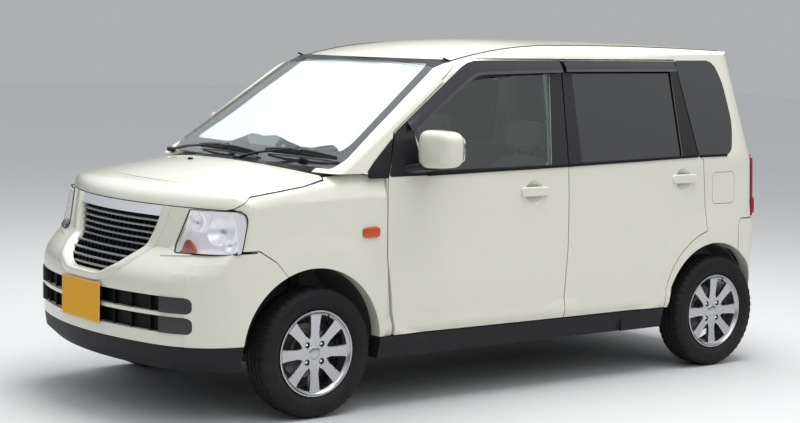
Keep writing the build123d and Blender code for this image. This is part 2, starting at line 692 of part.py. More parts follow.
grille_front = nose_band(10.0, FENDER_T, 330, 900)
grille_mid = nose_band(26.0, FENDER_T, 330, 900)
grille_back = nose_band(40.0, FENDER_T, 330, 900)
mesh_front = nose_band(BUMPER_T + SEAL_GAP, FENDER_T, 330, 560)
mesh_back = nose_band(BUMPER_T + 8.0, FENDER_T, 330, 560)
grille_hole = along(outline(GRILLE_FACE, grow=-0.5), 1300, 1800)
with BuildPart() as slats:
    for k in range(SLAT_COUNT):
        slat_z = FIRST_SLAT_Z + k * SLAT_PITCH
        add(block(1300, 1800, -400, 400, slat_z, slat_z + SLAT_T))
    add(grille_hole, mode=Mode.INTERSECT)
    add(grille_front, mode=Mode.INTERSECT)
with BuildPart() as mesh:
    add(along(outline([(-640, 352), (640, 352), (640, 534), (-640, 534)]), 1300, 1800))
    add(mesh_front, mode=Mode.INTERSECT)
    add(mesh_back, mode=Mode.SUBTRACT)
with BuildPart() as grille:
    add(grille_hole)
    add(grille_mid, mode=Mode.INTERSECT)
    add(slats.part)
    add(grille_back, mode=Mode.SUBTRACT)
    add(block(1300, 1800, -400, 400, GRILLE_TOP_Z - CHROME_BAR_H, 900), mode=Mode.SUBTRACT)
    add(mesh.part)
grille.part.label = "grille"
export_step(grille.part, "parts/grille.step")

with BuildPart() as grille_bar:
    add(nose_outer)
    add(grille_back, mode=Mode.SUBTRACT)
    add(along(outline(GRILLE_FACE, grow=-0.5), 1300, 1800), mode=Mode.INTERSECT)
    add(block(1300, 1800, -400, 400, GRILLE_TOP_Z - CHROME_BAR_H + SEAL_GAP, 900), mode=Mode.INTERSECT)
grille_bar.part.label = "grille_bar"
export_step(grille_bar.part, "parts/grille_bar.step")

lamp_back = nose_skin(LAMP_T, LAMP_T, BONNET_T)
with BuildPart() as lamp_left:
    add(nose_outer)
    add(lamp_back, mode=Mode.SUBTRACT)
    add(along(outline(LAMP_FACE, 10), LAMP_X + 3, 1800), mode=Mode.INTERSECT)
with BuildPart() as headlamps:
    add(both_sides(lamp_left.part))
headlamps.part.label = "headlamps"
export_step(headlamps.part, "parts/headlamps.step")

with BuildSketch() as cowl_plan:
    with BuildLine():
        ThreePointArc((936, -637), (1007, 0), (936, 637))
        Line((936, 637), (905, 637))
        ThreePointArc((905, 637), (950, 0), (905, -637))
        Line((905, -637), (936, -637))
    make_face()
with BuildPart() as cowl:
    add(nose_wall)
    add(upward(cowl_plan.sketch, 900, 1050), mode=Mode.INTERSECT)
    add(cabin_outer, mode=Mode.SUBTRACT)
cowl.part.label = "cowl"
export_step(cowl.part, "parts/cowl.step")

with BuildPart() as sill_left:
    add(cabin_wall)
    add(block(-964, 706, 500, 900, SILL_BOTTOM_Z, SILL_TOP_Z - 3), mode=Mode.INTERSECT)
with BuildPart() as rear_lip:
    add(tail_wall)
    add(block(-1760, -1480, -800, 800, 268, 342), mode=Mode.INTERSECT)
    add(both_sides(disc_y(REAR_ARCH[0], REAR_ARCH[1], ARCH_R, 400, SIDE_REACH)), mode=Mode.SUBTRACT)
with BuildPart() as lower_trim:
    add(nose_wall)
    add(block(1100, 1760, -800, 800, 218, 319), mode=Mode.INTERSECT)
    add(both_sides(disc_y(FRONT_ARCH[0], FRONT_ARCH[1], ARCH_R, 400, SIDE_REACH)), mode=Mode.SUBTRACT)
    add(rear_lip.part)
    add(both_sides(sill_left.part))
lower_trim.part.label = "lower_trim"
export_step(lower_trim.part, "parts/lower_trim.step")

# --- Floor, bulkhead, wheelhouses and rails ---------------------------------
FLOOR_TOP_Z = FLOOR_Z + FLOOR_T
BULKHEAD_X = 880.0
BULKHEAD_T = 30.0
FLOOR_HALF = 622.0
REAR_STEP_X = -960.0
HOUSE_T = 8.0
HOUSE_IN_Y = 392.0
REAR_HOUSE_IN_Y = 505.0
RAIL_Y = 340.0


def wheelhouse(centre, r, y_in, y_out, z_low):
    """A half-round wheelhouse with a flat inner wall, on the left side."""
    with BuildPart() as house:
        add(disc_y(centre[0], centre[1], r + HOUSE_T, y_in - HOUSE_T, y_out))
        add(disc_y(centre[0], centre[1], r, y_in, y_out + 1), mode=Mode.SUBTRACT)
        add(block(centre[0] - 500, centre[0] + 500, y_in - 20, y_out + 2, z_low - 600, z_low),
            mode=Mode.SUBTRACT)
    return house.part


tower_dir = Vector(*STRUT_TOP) - Vector(*BALL_JOINT)
tower_plane = Plane(origin=STRUT_TOP, z_dir=tower_dir)
front_house = wheelhouse(FRONT_ARCH, ARCH_R + 8, HOUSE_IN_Y, 652, FLOOR_TOP_Z)
rear_house = wheelhouse(REAR_ARCH, ARCH_R - HOUSE_T - 0.4, REAR_HOUSE_IN_Y, 630, 332)
STRUT_WELL_R = 70.0
with BuildPart() as tower:
    with BuildSketch(Plane(origin=tower_plane.origin, z_dir=tower_plane.z_dir)):
        Circle(STRUT_WELL_R + 8)
    extrude(amount=-200)
    with BuildSketch(Plane(origin=tower_plane.origin - tower_plane.z_dir * 12, z_dir=tower_plane.z_dir)):
        Circle(STRUT_WELL_R)
    extrude(amount=-300, mode=Mode.SUBTRACT)
    add(disc_y(FRONT_ARCH[0], FRONT_ARCH[1], ARCH_R + 8, 300, 700), mode=Mode.SUBTRACT)
with BuildPart() as front_corner:
    add(front_house)
    add(nose_skin(FENDER_T + SEAL_GAP, BUMPER_T + SEAL_GAP, BONNET_T + SEAL_GAP), mode=Mode.INTERSECT)
    add(block(600, 720, 642, 760, 200, SILL_TOP_Z), mode=Mode.SUBTRACT)
    with BuildSketch(Plane(origin=tower_plane.origin - tower_plane.z_dir * 12, z_dir=tower_plane.z_dir)):
        Circle(STRUT_WELL_R)
    extrude(amount=-400, mode=Mode.SUBTRACT)
    add(tower.part)
    with BuildSketch(Plane(origin=tower_plane.origin, z_dir=tower_plane.z_dir)):
        Circle(10.3)
    extrude(amount=-60, mode=Mode.SUBTRACT)

with BuildPart() as buffers:
    add(both_sides(block(950, 1020, 430, 470, 930, 1000)))
    add(nose_skin(FENDER_T, BUMPER_T, BONNET_T + 0.4), mode=Mode.INTERSECT)
with BuildPart() as floor_pan:
    add(buffers.part)
    add(block(BULKHEAD_X, 1020, -480, 480, 925, 940))
    add(block(REAR_STEP_X, BULKHEAD_X + BULKHEAD_T, -HOUSE_IN_Y, HOUSE_IN_Y, FLOOR_Z, FLOOR_TOP_Z))
    add(block(REAR_STEP_X, FRONT_AXLE_X - 320, -FLOOR_HALF, FLOOR_HALF, FLOOR_Z, FLOOR_TOP_Z))
    add(block(REAR_STEP_X - 20, REAR_STEP_X, -595, 595, FLOOR_Z, REAR_FLOOR_Z))
    add(block(-1640, REAR_STEP_X - 20, -REAR_HOUSE_IN_Y, REAR_HOUSE_IN_Y,
              REAR_FLOOR_Z - REAR_FLOOR_T, REAR_FLOOR_Z))
    add(block(-1643.2, -1612, -494, 494, REAR_FLOOR_Z, 660))
    add(block(BULKHEAD_X, BULKHEAD_X + BULKHEAD_T, HOUSE_T - HOUSE_IN_Y, HOUSE_IN_Y - HOUSE_T, FLOOR_Z, 640))
    add(block(BULKHEAD_X, BULKHEAD_X + BULKHEAD_T, -595, 595, 612, 955))
    add(block(BULKHEAD_X, 1490, RAIL_Y, HOUSE_IN_Y - HOUSE_T, 300, 400))
    add(block(BULKHEAD_X, 1490, -HOUSE_IN_Y + HOUSE_T, -RAIL_Y, 300, 400))
    add(block(1480, 1505, -480, 480, 300, 640))
    add(both_sides(front_corner.part))
    add(both_sides(rear_house))
floor_pan.part.label = "floor_pan"
export_step(floor_pan.part, "parts/floor_pan.step")

# --- Wheels -----------------------------------------------------------------
WHEELS = [  # name, axle x, side
    ("front_left", FRONT_AXLE_X, 1),
    ("front_right", FRONT_AXLE_X, -1),
    ("rear_left", REAR_AXLE_X, 1),
    ("rear_right", REAR_AXLE_X, -1),
]
WHEEL_Y = TRACK / 2
HALF_TYRE = TYRE_W / 2
HALF_RIM = RIM_W / 2
HUB_FACE_Y = 46.0
HUB_T = 22.0
DISC_HAT_R = 34.0
DISC_R = 112.0
DISC_Y = -46.0
DISC_T = 12.0

TREAD_HALF = HALF_TYRE - 26
SHOULDER = (TYRE_R - 14, HALF_TYRE - 10)
INNER_SHOULDER = (SHOULDER[0], -SHOULDER[1])
BEAD_STEP = 12.3
for name, axle_x, side in WHEELS:
    spin = Plane(origin=(axle_x, side * WHEEL_Y, TYRE_R), x_dir=(1, 0, 0), z_dir=(0, side, 0))
    turn = Axis(spin.origin, spin.z_dir)
    radial = Plane(origin=spin.origin, x_dir=(1, 0, 0), z_dir=(0, 0, -side))
    with BuildPart() as tyre:
        with BuildSketch(radial):
            with BuildLine():
                Polyline((RIM_LIP_R + 1, 6 - HALF_RIM), (RIM_LIP_R + 1, BEAD_STEP + 0.3 - HALF_RIM),
                         (BEAD_R + 3, BEAD_STEP + 0.3 - HALF_RIM), (BEAD_R + 3, HALF_RIM - BEAD_STEP - 0.3),
                         (RIM_LIP_R + 1, HALF_RIM - BEAD_STEP - 0.3), (RIM_LIP_R + 1, HALF_RIM - 6))
                ThreePointArc((RIM_LIP_R + 1, HALF_RIM - 6), (BEAD_R + 52, HALF_TYRE), SHOULDER)
                ThreePointArc(SHOULDER, (TYRE_R - 5, HALF_TYRE - 15), (TYRE_R - 1.5, TREAD_HALF))
                ThreePointArc((TYRE_R - 1.5, TREAD_HALF), (TYRE_R, 0), (TYRE_R - 1.5, -TREAD_HALF))
                ThreePointArc((TYRE_R - 1.5, -TREAD_HALF), (TYRE_R - 5, 15 - HALF_TYRE), INNER_SHOULDER)
                ThreePointArc(INNER_SHOULDER, (BEAD_R + 52, -HALF_TYRE), (RIM_LIP_R + 1, 6 - HALF_RIM))
            make_face()
        revolve(axis=turn)
    tyre.part.label = f"tyre_{name}"
    export_step(tyre.part, f"parts/tyre_{name}.step")
    with BuildPart() as rim:
        with BuildSketch(radial):
            with BuildLine():
                Polyline((BEAD_R + 2.7, HALF_RIM - BEAD_STEP), (RIM_LIP_R, HALF_RIM - BEAD_STEP),
                         (RIM_LIP_R, HALF_RIM - 3), (RIM_LIP_R - 8, HALF_RIM), (BEAD_R - RIM_T, HALF_RIM - 8),
                         (BEAD_R - RIM_T - 3, 4 - HALF_RIM), (RIM_LIP_R - 6, -HALF_RIM),
                         (RIM_LIP_R, 3 - HALF_RIM),
                         (RIM_LIP_R, BEAD_STEP - HALF_RIM), (BEAD_R + 2.7, BEAD_STEP - HALF_RIM), close=True)
            make_face()
        revolve(axis=turn)
        with BuildSketch(spin.offset(HUB_FACE_Y - HUB_T)):
            Circle(HUB_R)
        extrude(amount=HUB_T)
        with BuildSketch(spin.offset(HUB_FACE_Y - SPOKE_T)):
            with PolarLocations(0, SPOKE_COUNT, start_angle=SPOKE_START_DEG):
                Polygon((HUB_R - 8, -17), (BEAD_R - 4, -24), (BEAD_R - 4, 24), (HUB_R - 8, 17), align=None)
        extrude(amount=SPOKE_T)
        with BuildSketch(spin.offset(DISC_Y)):
            Circle(DISC_R)
        extrude(amount=DISC_T)
        with BuildSketch(spin.offset(DISC_Y)):
            Circle(DISC_HAT_R)
        extrude(amount=HUB_FACE_Y - HUB_T - DISC_Y)
        with BuildSketch(spin.offset(HUB_FACE_Y)):
            with PolarLocations(LUG_PCD / 2, LUG_COUNT, start_angle=45):
                Circle(LUG_HOLE_R)
        extrude(amount=-HUB_T, mode=Mode.SUBTRACT)
        with BuildSketch(spin.offset(DISC_Y)):
            Circle(HUB_BORE_R + SPINDLE_CLEARANCE)
        extrude(amount=70, mode=Mode.SUBTRACT)
    rim.part.label = f"rim_{name}"
    export_step(rim.part, f"parts/rim_{name}.step")

# --- Knuckles, front suspension and rear axle ---------------------------------
SPINDLE_END_Y = WHEEL_Y + 10.0
BRAKE_GAP = 4.0
CARRIER_Y = WHEEL_Y + DISC_Y - BRAKE_GAP
strut_axis = Plane(origin=BALL_JOINT, z_dir=tower_dir)
strut_len = tower_dir.length
with BuildPart() as knuckle_left:
    with Locations(BALL_JOINT):
        Sphere(BALL_R)
    with BuildSketch(strut_axis):
        Circle(11)
    extrude(amount=20)
    with BuildSketch(Plane(origin=strut_axis.origin + strut_axis.z_dir * 18, z_dir=strut_axis.z_dir)):
        Circle(16)
    extrude(amount=120)
    with BuildSketch(Plane(origin=strut_axis.origin + strut_axis.z_dir * 115, z_dir=strut_axis.z_dir)):
        Circle(26)
    extrude(amount=275)
    with BuildSketch(Plane(origin=strut_axis.origin + strut_axis.z_dir * 380, z_dir=strut_axis.z_dir)):
        Circle(10)
    extrude(amount=strut_len - 380 - 2)
    with BuildSketch(Plane(origin=strut_axis.origin + strut_axis.z_dir * 300, z_dir=strut_axis.z_dir)):
        Circle(48)
    extrude(amount=6)
    add(disc_y(FRONT_AXLE_X, TYRE_R, 40, 540, CARRIER_Y))
    add(disc_y(FRONT_AXLE_X, TYRE_R, HUB_BORE_R, CARRIER_Y - 1, SPINDLE_END_Y))
    add(block(FRONT_AXLE_X - 118, FRONT_AXLE_X - 20, 540, 562, 240, 262))
knuckle_left.part.label = "knuckle_left"
export_step(knuckle_left.part, "parts/knuckle_left.step")
with BuildPart() as knuckle_right:
    mirror(knuckle_left.part, about=Plane.XZ)
knuckle_right.part.label = "knuckle_right"
export_step(knuckle_right.part, "parts/knuckle_right.step")

with BuildPart() as arm_left:
    with BuildSketch(Plane.XY.offset(BALL_JOINT[2] - 20)):
        with BuildLine():
            Polyline((FRONT_AXLE_X + 60, 290), (FRONT_AXLE_X + 20, BALL_JOINT[1]),
                     (FRONT_AXLE_X - 20, BALL_JOINT[1]),
                     (FRONT_AXLE_X - 150, 290), close=True)
        make_face()
        with Locations((BALL_JOINT[0], BALL_JOINT[1])):
            Circle(20)
    extrude(amount=24)
    with Locations(BALL_JOINT):
        Sphere(BALL_R + 0.3, mode=Mode.SUBTRACT)
with BuildPart() as front_suspension:
    add(both_sides(arm_left.part))
    add(block(FRONT_AXLE_X - 160, FRONT_AXLE_X + 70, -330, 330, BALL_JOINT[2] - 20, BALL_JOINT[2] + 16))
    add(both_sides(block(FRONT_AXLE_X - 90, FRONT_AXLE_X + 60, RAIL_Y - 20, RAIL_Y + 30,
                         BALL_JOINT[2] + 4, 300)))
front_suspension.part.label = "front_suspension"
export_step(front_suspension.part, "parts/front_suspension.step")

ARM_Y = 470.0
SPRING_X = REAR_AXLE_X + 90.0
with BuildPart() as axle_left:
    add(across(outline([(REAR_AXLE_X - 40, 226), (REAR_AXLE_X + 30, 226), (-985, 240), (-985, 290),
                        (REAR_AXLE_X + 30, 306), (REAR_AXLE_X - 40, 306)]), ARM_Y - 25, ARM_Y + 25))
    add(disc_y(REAR_AXLE_X, TYRE_R, 40, ARM_Y, CARRIER_Y))
    add(disc_y(REAR_AXLE_X, TYRE_R, HUB_BORE_R, CARRIER_Y - 1, SPINDLE_END_Y))
    with Locations((SPRING_X, ARM_Y - 70, (290 + REAR_FLOOR_Z - REAR_FLOOR_T) / 2)):
        Cylinder(48, REAR_FLOOR_Z - REAR_FLOOR_T - 290)
    add(block(SPRING_X - 55, SPRING_X + 55, ARM_Y - 125, ARM_Y, 278, 291))
with BuildPart() as rear_axle:
    add(both_sides(axle_left.part))
    add(block(REAR_AXLE_X + 40, REAR_AXLE_X + 130, -ARM_Y, ARM_Y, 240, 280))
rear_axle.part.label = "rear_axle"
export_step(rear_axle.part, "parts/rear_axle.step")

# --- Engine, underbody, inside ------------------------------------------------
ENGINE = (1070.0, 1420.0, -339.7, 339.7, 380.0, 790.0)
with BuildPart() as engine_block:
    add(block(*ENGINE))
engine_block.part.label = "engine_block"
export_step(engine_block.part, "parts/engine_block.step")

with BuildPart() as underbody:
    add(block(-900, -420, -330, 120, 170, FLOOR_Z))
    add(block(-1610, -1430, -420, 260, 236, REAR_FLOOR_Z - REAR_FLOOR_T))
    with BuildSketch(Plane.YZ.offset(-1685)):
        with Locations((-330, 246)):
            Circle(17)
    extrude(amount=90)
    with BuildSketch(Plane.YZ.offset(-400)):
        with Locations((200, 205)):
            Circle(22)
    extrude(amount=1250)
    add(block(-300, -250, 180, 220, 205, FLOOR_Z))
    add(block(600, 650, 180, 220, 205, FLOOR_Z))
underbody.part.label = "underbody"
export_step(underbody.part, "parts/underbody.step")

SEAT_SIDE = [
    (170, 330), (190, 470), (-200, 430), (-350, 1010), (-370, 1170), (-450, 1160), (-460, 1000), (-330, 330),
]
REAR_SEAT_SIDE = [
    (-560, FLOOR_TOP_Z), (-540, 530), (-900, 500), (-1010, 1000), (-1020, 1110), (-1090, 1100), (-1090, 960),
    (-1000, REAR_FLOOR_Z), (-950, REAR_FLOOR_Z), (-950, FLOOR_TOP_Z),
]
with BuildPart() as seats:
    for y in (-330, 330):
        add(across(outline(SEAT_SIDE, 28), y - 240, y + 240))
        add(block(-300, 150, y - 200, y + 200, FLOOR_TOP_Z, 335))
    add(across(outline(REAR_SEAT_SIDE[:4] + REAR_SEAT_SIDE[6:]), -490, 490))
seats.part.label = "seats"
export_step(seats.part, "parts/seats.step")

DASH_SIDE = [
    (BULKHEAD_X, 620), (BULKHEAD_X, 975), (800, 1000), (640, 985), (590, 930), (610, 800), (700, 640),
]
rake = math.radians(STEER_RAKE)
steer_plane = Plane(origin=STEER_CENTRE, z_dir=(math.cos(rake), 0, -math.sin(rake)))
steer_section = Plane(origin=STEER_CENTRE, x_dir=(0, 1, 0), z_dir=(math.sin(rake), 0, math.cos(rake)))
COLUMN_R = 30.0
COLUMN_START = 30.0
SHAFT_R = 12.0
with BuildPart() as dashboard:
    add(across(outline(DASH_SIDE), -560, 560))
    add(block(480, 690, -90, 90, FLOOR_TOP_Z, 720))
    add(block(560, 660, -90, 90, 600, 860))
    with BuildSketch(steer_plane.offset(COLUMN_START)):
        Circle(COLUMN_R)
    extrude(amount=300)
    with BuildSketch(steer_plane.offset(COLUMN_START - 10)):
        Circle(SHAFT_R + SPINDLE_CLEARANCE)
    extrude(amount=60, mode=Mode.SUBTRACT)
dashboard.part.label = "dashboard"
export_step(dashboard.part, "parts/dashboard.step")

with BuildPart() as steering_wheel:
    with BuildSketch(steer_section):
        with Locations((STEER_R - STEER_RIM_R, 0)):
            Circle(STEER_RIM_R)
    revolve(axis=Axis(STEER_CENTRE, steer_plane.z_dir))
    with BuildSketch(steer_plane.offset(-12)):
        Circle(62)
        Rectangle(STEER_R * 2 - 30, 34)
        Rectangle(34, STEER_R * 2 - 30)
    extrude(amount=24)
    with BuildSketch(steer_plane.offset(10)):
        Circle(SHAFT_R)
    extrude(amount=50)
steering_wheel.part.label = "steering_wheel"
export_step(steering_wheel.part, "parts/steering_wheel.step")

# --- Mirrors and fuel lid ------------------------------------------------------
MIRROR_CENTRE = (495.0, 835.0, 1090.0)
MIRROR_SIZE = (120.0, 196.0, 154.0)
MIRROR_R = 38.0
mirror_seat = cabin_skin(-0.4, 0, 0, 0, 0)
with BuildPart() as mirror_left:
    with Locations(MIRROR_CENTRE):
        Box(*MIRROR_SIZE)
    fillet(mirror_left.edges(), MIRROR_R)
    add(across(outline([(470, 1015), (570, 1015), (560, 1060), (480, 1060)]), 600, 800))
    add(mirror_seat, mode=Mode.SUBTRACT)
mirror_left.part.label = "mirror_left"
export_step(mirror_left.part, "parts/mirror_left.step")
with BuildPart() as mirror_right:
    mirror(mirror_left.part, about=Plane.XZ)
mirror_right.part.label = "mirror_right"
export_step(mirror_right.part, "parts/mirror_right.step")

with BuildPart() as fuel_lid:
    add(cabin_plain)
    add(cabin_skin(6.0, 0, 0, 6.0, 0), mode=Mode.SUBTRACT)
    add(across(outline(FUEL_LID, FUEL_LID_R, -2.5), 600, SIDE_REACH), mode=Mode.INTERSECT)
fuel_lid.part.label = "fuel_lid"
export_step(fuel_lid.part, "parts/fuel_lid.step")
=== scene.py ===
import json
from math import atan2, copysign, cos, exp, hypot, pi, radians, sin, sqrt, tan

import bmesh
import bpy
from mathutils import Matrix, Vector

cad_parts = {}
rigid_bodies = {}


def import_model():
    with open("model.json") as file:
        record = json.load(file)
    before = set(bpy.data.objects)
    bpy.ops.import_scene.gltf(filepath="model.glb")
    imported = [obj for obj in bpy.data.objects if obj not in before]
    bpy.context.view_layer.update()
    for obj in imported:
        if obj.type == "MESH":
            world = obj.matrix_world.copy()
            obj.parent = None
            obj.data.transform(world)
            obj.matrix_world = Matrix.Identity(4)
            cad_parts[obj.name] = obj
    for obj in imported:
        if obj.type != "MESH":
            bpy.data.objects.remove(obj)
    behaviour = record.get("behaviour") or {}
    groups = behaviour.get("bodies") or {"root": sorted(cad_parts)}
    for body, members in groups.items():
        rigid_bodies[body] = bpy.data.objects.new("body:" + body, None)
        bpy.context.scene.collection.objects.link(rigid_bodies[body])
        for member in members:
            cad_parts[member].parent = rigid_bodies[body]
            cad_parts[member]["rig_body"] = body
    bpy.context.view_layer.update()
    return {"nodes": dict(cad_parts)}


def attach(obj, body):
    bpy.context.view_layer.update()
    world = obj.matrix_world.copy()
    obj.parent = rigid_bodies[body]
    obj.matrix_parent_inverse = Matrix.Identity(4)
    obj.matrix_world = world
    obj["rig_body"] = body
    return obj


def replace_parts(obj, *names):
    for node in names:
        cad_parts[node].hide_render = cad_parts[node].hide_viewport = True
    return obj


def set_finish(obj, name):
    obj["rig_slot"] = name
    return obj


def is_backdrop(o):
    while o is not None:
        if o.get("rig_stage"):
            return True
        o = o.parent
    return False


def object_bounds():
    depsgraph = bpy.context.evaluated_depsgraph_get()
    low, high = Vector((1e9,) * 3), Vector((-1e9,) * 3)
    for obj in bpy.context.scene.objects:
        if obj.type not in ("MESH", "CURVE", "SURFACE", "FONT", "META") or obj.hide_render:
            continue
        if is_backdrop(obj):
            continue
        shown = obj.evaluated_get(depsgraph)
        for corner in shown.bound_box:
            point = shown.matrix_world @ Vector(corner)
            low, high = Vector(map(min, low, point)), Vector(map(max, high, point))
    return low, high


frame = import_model()
scene = bpy.context.scene

# --- Camera, at the photograph's viewing angle ---
IMAGE_WIDTH_PX = 800
SENSOR_MM = 36.0
FOCAL_PX = 1754.5
CLIP_END = 200.0
CAMERA_AT = (5.0201, 6.4401, 1.5335)
YAW, PITCH, ROLL = 4.0562, -0.0975, 0.0251  # radians

ahead = Vector((cos(PITCH) * cos(YAW), cos(PITCH) * sin(YAW), sin(PITCH)))
level = Vector((sin(YAW), -cos(YAW), 0.0))
lift = level.cross(ahead)
cam_right = level * cos(ROLL) + lift * sin(ROLL)
cam_up = lift * cos(ROLL) - level * sin(ROLL)
camera = bpy.data.objects.new("camera", bpy.data.cameras.new("camera"))
camera.data.sensor_width = SENSOR_MM
camera.data.lens = FOCAL_PX * SENSOR_MM / IMAGE_WIDTH_PX
camera.data.clip_end = CLIP_END
turned = Matrix((cam_right, cam_up, -ahead)).transposed().to_4x4()
camera.matrix_world = Matrix.Translation(CAMERA_AT) @ turned
scene.collection.objects.link(camera)
scene.camera = camera
scene.view_settings.view_transform = "Standard"

# --- Materials ---


DUST_TOP, DUST_FULL = 0.55, 0.22  # heights where the dust ends and where it is thickest
DUST_COLOUR = (0.16, 0.145, 0.12, 1.0)


def add(tree, kind, **values):
    """A new node, with values for the sockets that it names."""
    node = tree.nodes.new(f"ShaderNode{kind}")
    if kind == "Mix":
        node.data_type = "RGBA"
    for socket, value in values.items():
        node.inputs[socket.replace("_", " ")].default_value = value
    return node


def material(name, colour, rough, metallic=0.0, coat=0.0, coat_rough=0.03, ior=1.5, see=0.0, spread=0.05,
             spread_scale=7.0, rough_spread=0.06, grain=0.0, grain_scale=500.0, dust=0.0, sheen=0.0,
             specular=0.5, painted_glow=0.0):
    """A procedural finish: colour clouds, uneven gloss, a fine grain, dust low down, and a glow that is
    painted light.
    """
    mat = bpy.data.materials.new(name)
    mat.use_nodes = True
    tree = mat.node_tree
    link = tree.links.new
    shader = tree.nodes["Principled BSDF"]
    for socket, value in {
        "Metallic": metallic, "IOR": ior, "Coat Weight": coat, "Coat Roughness": coat_rough,
        "Transmission Weight": see, "Sheen Weight": sheen, "Specular IOR Level": specular,
        "Emission Color": [*colour, 1.0], "Emission Strength": painted_glow,
    }.items():
        shader.inputs[socket].default_value = value
    where = add(tree, "TexCoord").outputs["Object"]
    cloud = add(tree, "TexNoise", Scale=spread_scale, Detail=5.0)
    link(where, cloud.inputs["Vector"])
    dark, pale = ([min(1.0, c * (1 + by)) for c in colour] + [1.0] for by in (-spread, spread))
    tone = add(tree, "Mix", A=dark, B=pale)
    link(cloud.outputs["Fac"], tone.inputs["Factor"])
    last = tone.outputs["Result"]
    if dust:
        split = add(tree, "SeparateXYZ")
        link(where, split.inputs["Vector"])
        height = add(tree, "MapRange", From_Min=DUST_TOP, From_Max=DUST_FULL, To_Max=dust)
        link(split.outputs["Z"], height.inputs["Value"])
        streak = add(tree, "TexNoise", Scale=22.0, Detail=8.0)
        link(where, streak.inputs["Vector"])
        amount = add(tree, "Math")
        amount.operation = "MULTIPLY"
        link(height.outputs["Result"], amount.inputs[0])
        link(streak.outputs["Fac"], amount.inputs[1])
        grime = add(tree, "Mix", B=DUST_COLOUR)
        link(amount.outputs["Value"], grime.inputs["Factor"])
        link(last, grime.inputs["A"])
        last = grime.outputs["Result"]
    link(last, shader.inputs["Base Color"])
    gloss = add(tree, "MapRange", To_Min=max(0.0, rough - rough_spread),
                To_Max=min(1.0, rough + rough_spread))
    link(cloud.outputs["Fac"], gloss.inputs["Value"])
    link(gloss.outputs["Result"], shader.inputs["Roughness"])
    if grain:
        fine = add(tree, "TexNoise", Scale=grain_scale, Detail=3.0)
        link(where, fine.inputs["Vector"])
        bump = add(tree, "Bump", Strength=grain, Distance=0.001)
        link(fine.outputs["Fac"], bump.inputs["Height"])
        link(bump.outputs["Normal"], shader.inputs["Normal"])
    return mat


PAINT = material("cream_paint", (0.735, 0.725, 0.625), 0.33, coat=0.8, coat_rough=0.04, spread=0.012,
                 rough_spread=0.03, grain=0.02, grain_scale=900.0, dust=0.1)
TRIM = material("grey_trim", (0.03, 0.031, 0.036), 0.46, grain=0.25, grain_scale=1400.0, spread=0.12,
                dust=0.2)
SILL = material("sill_trim", (0.013, 0.0135, 0.016), 0.52, specular=0.2, grain=0.25, grain_scale=1400.0,
                spread=0.12, dust=0.08)
GLOSS_BLACK = material("sash_black", (0.011, 0.011, 0.014), 0.32, specular=0.35, coat=0.1, coat_rough=0.15,
                       spread=0.1, grain=0.06, grain_scale=1200.0)
RUBBER = material("seal_rubber", (0.006, 0.006, 0.007), 0.72, specular=0.2, grain=0.2, grain_scale=900.0,
                  spread=0.15)
TYRE = material("tyre_rubber", (0.0085, 0.0085, 0.0095), 0.66, specular=0.2, grain=0.3, grain_scale=800.0,
                spread=0.2, spread_scale=18.0, dust=0.1)
ALLOY = material("alloy_silver", (0.52, 0.52, 0.54), 0.27, metallic=1.0, coat=0.25, coat_rough=0.1,
                 spread=0.05, spread_scale=30.0, grain=0.03, grain_scale=1800.0)
# darker alloy for the foot of the lug holes: painted shade in those recesses
ALLOY_SHADE = material("alloy_painted_shade", (0.07, 0.07, 0.073), 0.5, metallic=0.7, spread=0.2, spread_scale=25.0)
STEEL = material("brake_steel", (0.2, 0.19, 0.18), 0.42, metallic=0.9, spread=0.25, spread_scale=40.0,
                 grain=0.1, grain_scale=600.0)
# the reflector's glow is painted light: it brightens the lamp's inside, which the lens keeps in shade
REFLECTOR = material("lamp_reflector", (0.95, 0.95, 0.98), 0.16, painted_glow=0.22, metallic=0.35, coat=0.5,
                     spread=0.04, spread_scale=60.0, rough_spread=0.05)
CHROME = material("chrome", (0.8, 0.81, 0.84), 0.14, metallic=1.0, spread=0.02, rough_spread=0.04)
SATIN = material("satin_silver", (0.9, 0.91, 0.95), 0.3, metallic=0.15, coat=0.5, spread=0.03, grain=0.02,
                 grain_scale=1500.0)
SLAT = material("slat_silver", (0.34, 0.345, 0.36), 0.36, metallic=0.75, spread=0.06, spread_scale=30.0)
MESH_BLACK = material("mesh_black", (0.004, 0.004, 0.0045), 0.6, specular=0.2, grain=0.3, grain_scale=700.0,
                      spread=0.2)
SCREEN_GLASS = material("screen_glass", (0.95, 0.98, 0.97), 0.0, ior=1.5, see=1.0, spread=0.01,
                        rough_spread=0.0)
CLEAR = material("clear_glass", (0.6, 0.7, 0.66), 0.0, ior=1.5, see=1.0, spread=0.01, rough_spread=0.0)
DARK_GLASS = material("privacy_glass", (0.003, 0.0035, 0.005), 0.02, ior=1.7, see=0.05, spread=0.05,
                      rough_spread=0.01)
LENS = material("lamp_clear", (0.97, 0.97, 0.98), 0.0, ior=1.45, see=1.0, spread=0.005, rough_spread=0.0)
RED_LENS = material("lamp_red", (0.36, 0.012, 0.018), 0.1, coat=0.8, see=0.25, spread=0.1, spread_scale=40.0)
AMBER = material("lamp_amber", (0.62, 0.085, 0.01), 0.14, coat=0.5, see=0.1, spread=0.08, spread_scale=60.0)
WHITE_LENS = material("lamp_white", (0.75, 0.75, 0.77), 0.12, coat=0.8, see=0.3, spread=0.04,
                      spread_scale=60.0)
VISOR = material("smoked_visor", (0.022, 0.02, 0.027), 0.12, coat=0.35, coat_rough=0.06, see=0.15, ior=1.49,
                 spread=0.06)
PLATE_EDGE = material("plate_edge", (0.8, 0.52, 0.1), 0.35, coat=0.2, spread=0.03)
PLATE = material("plate_yellow", (0.8, 0.39, 0.004), 0.45, specular=0.25, spread=0.03, grain=0.04)
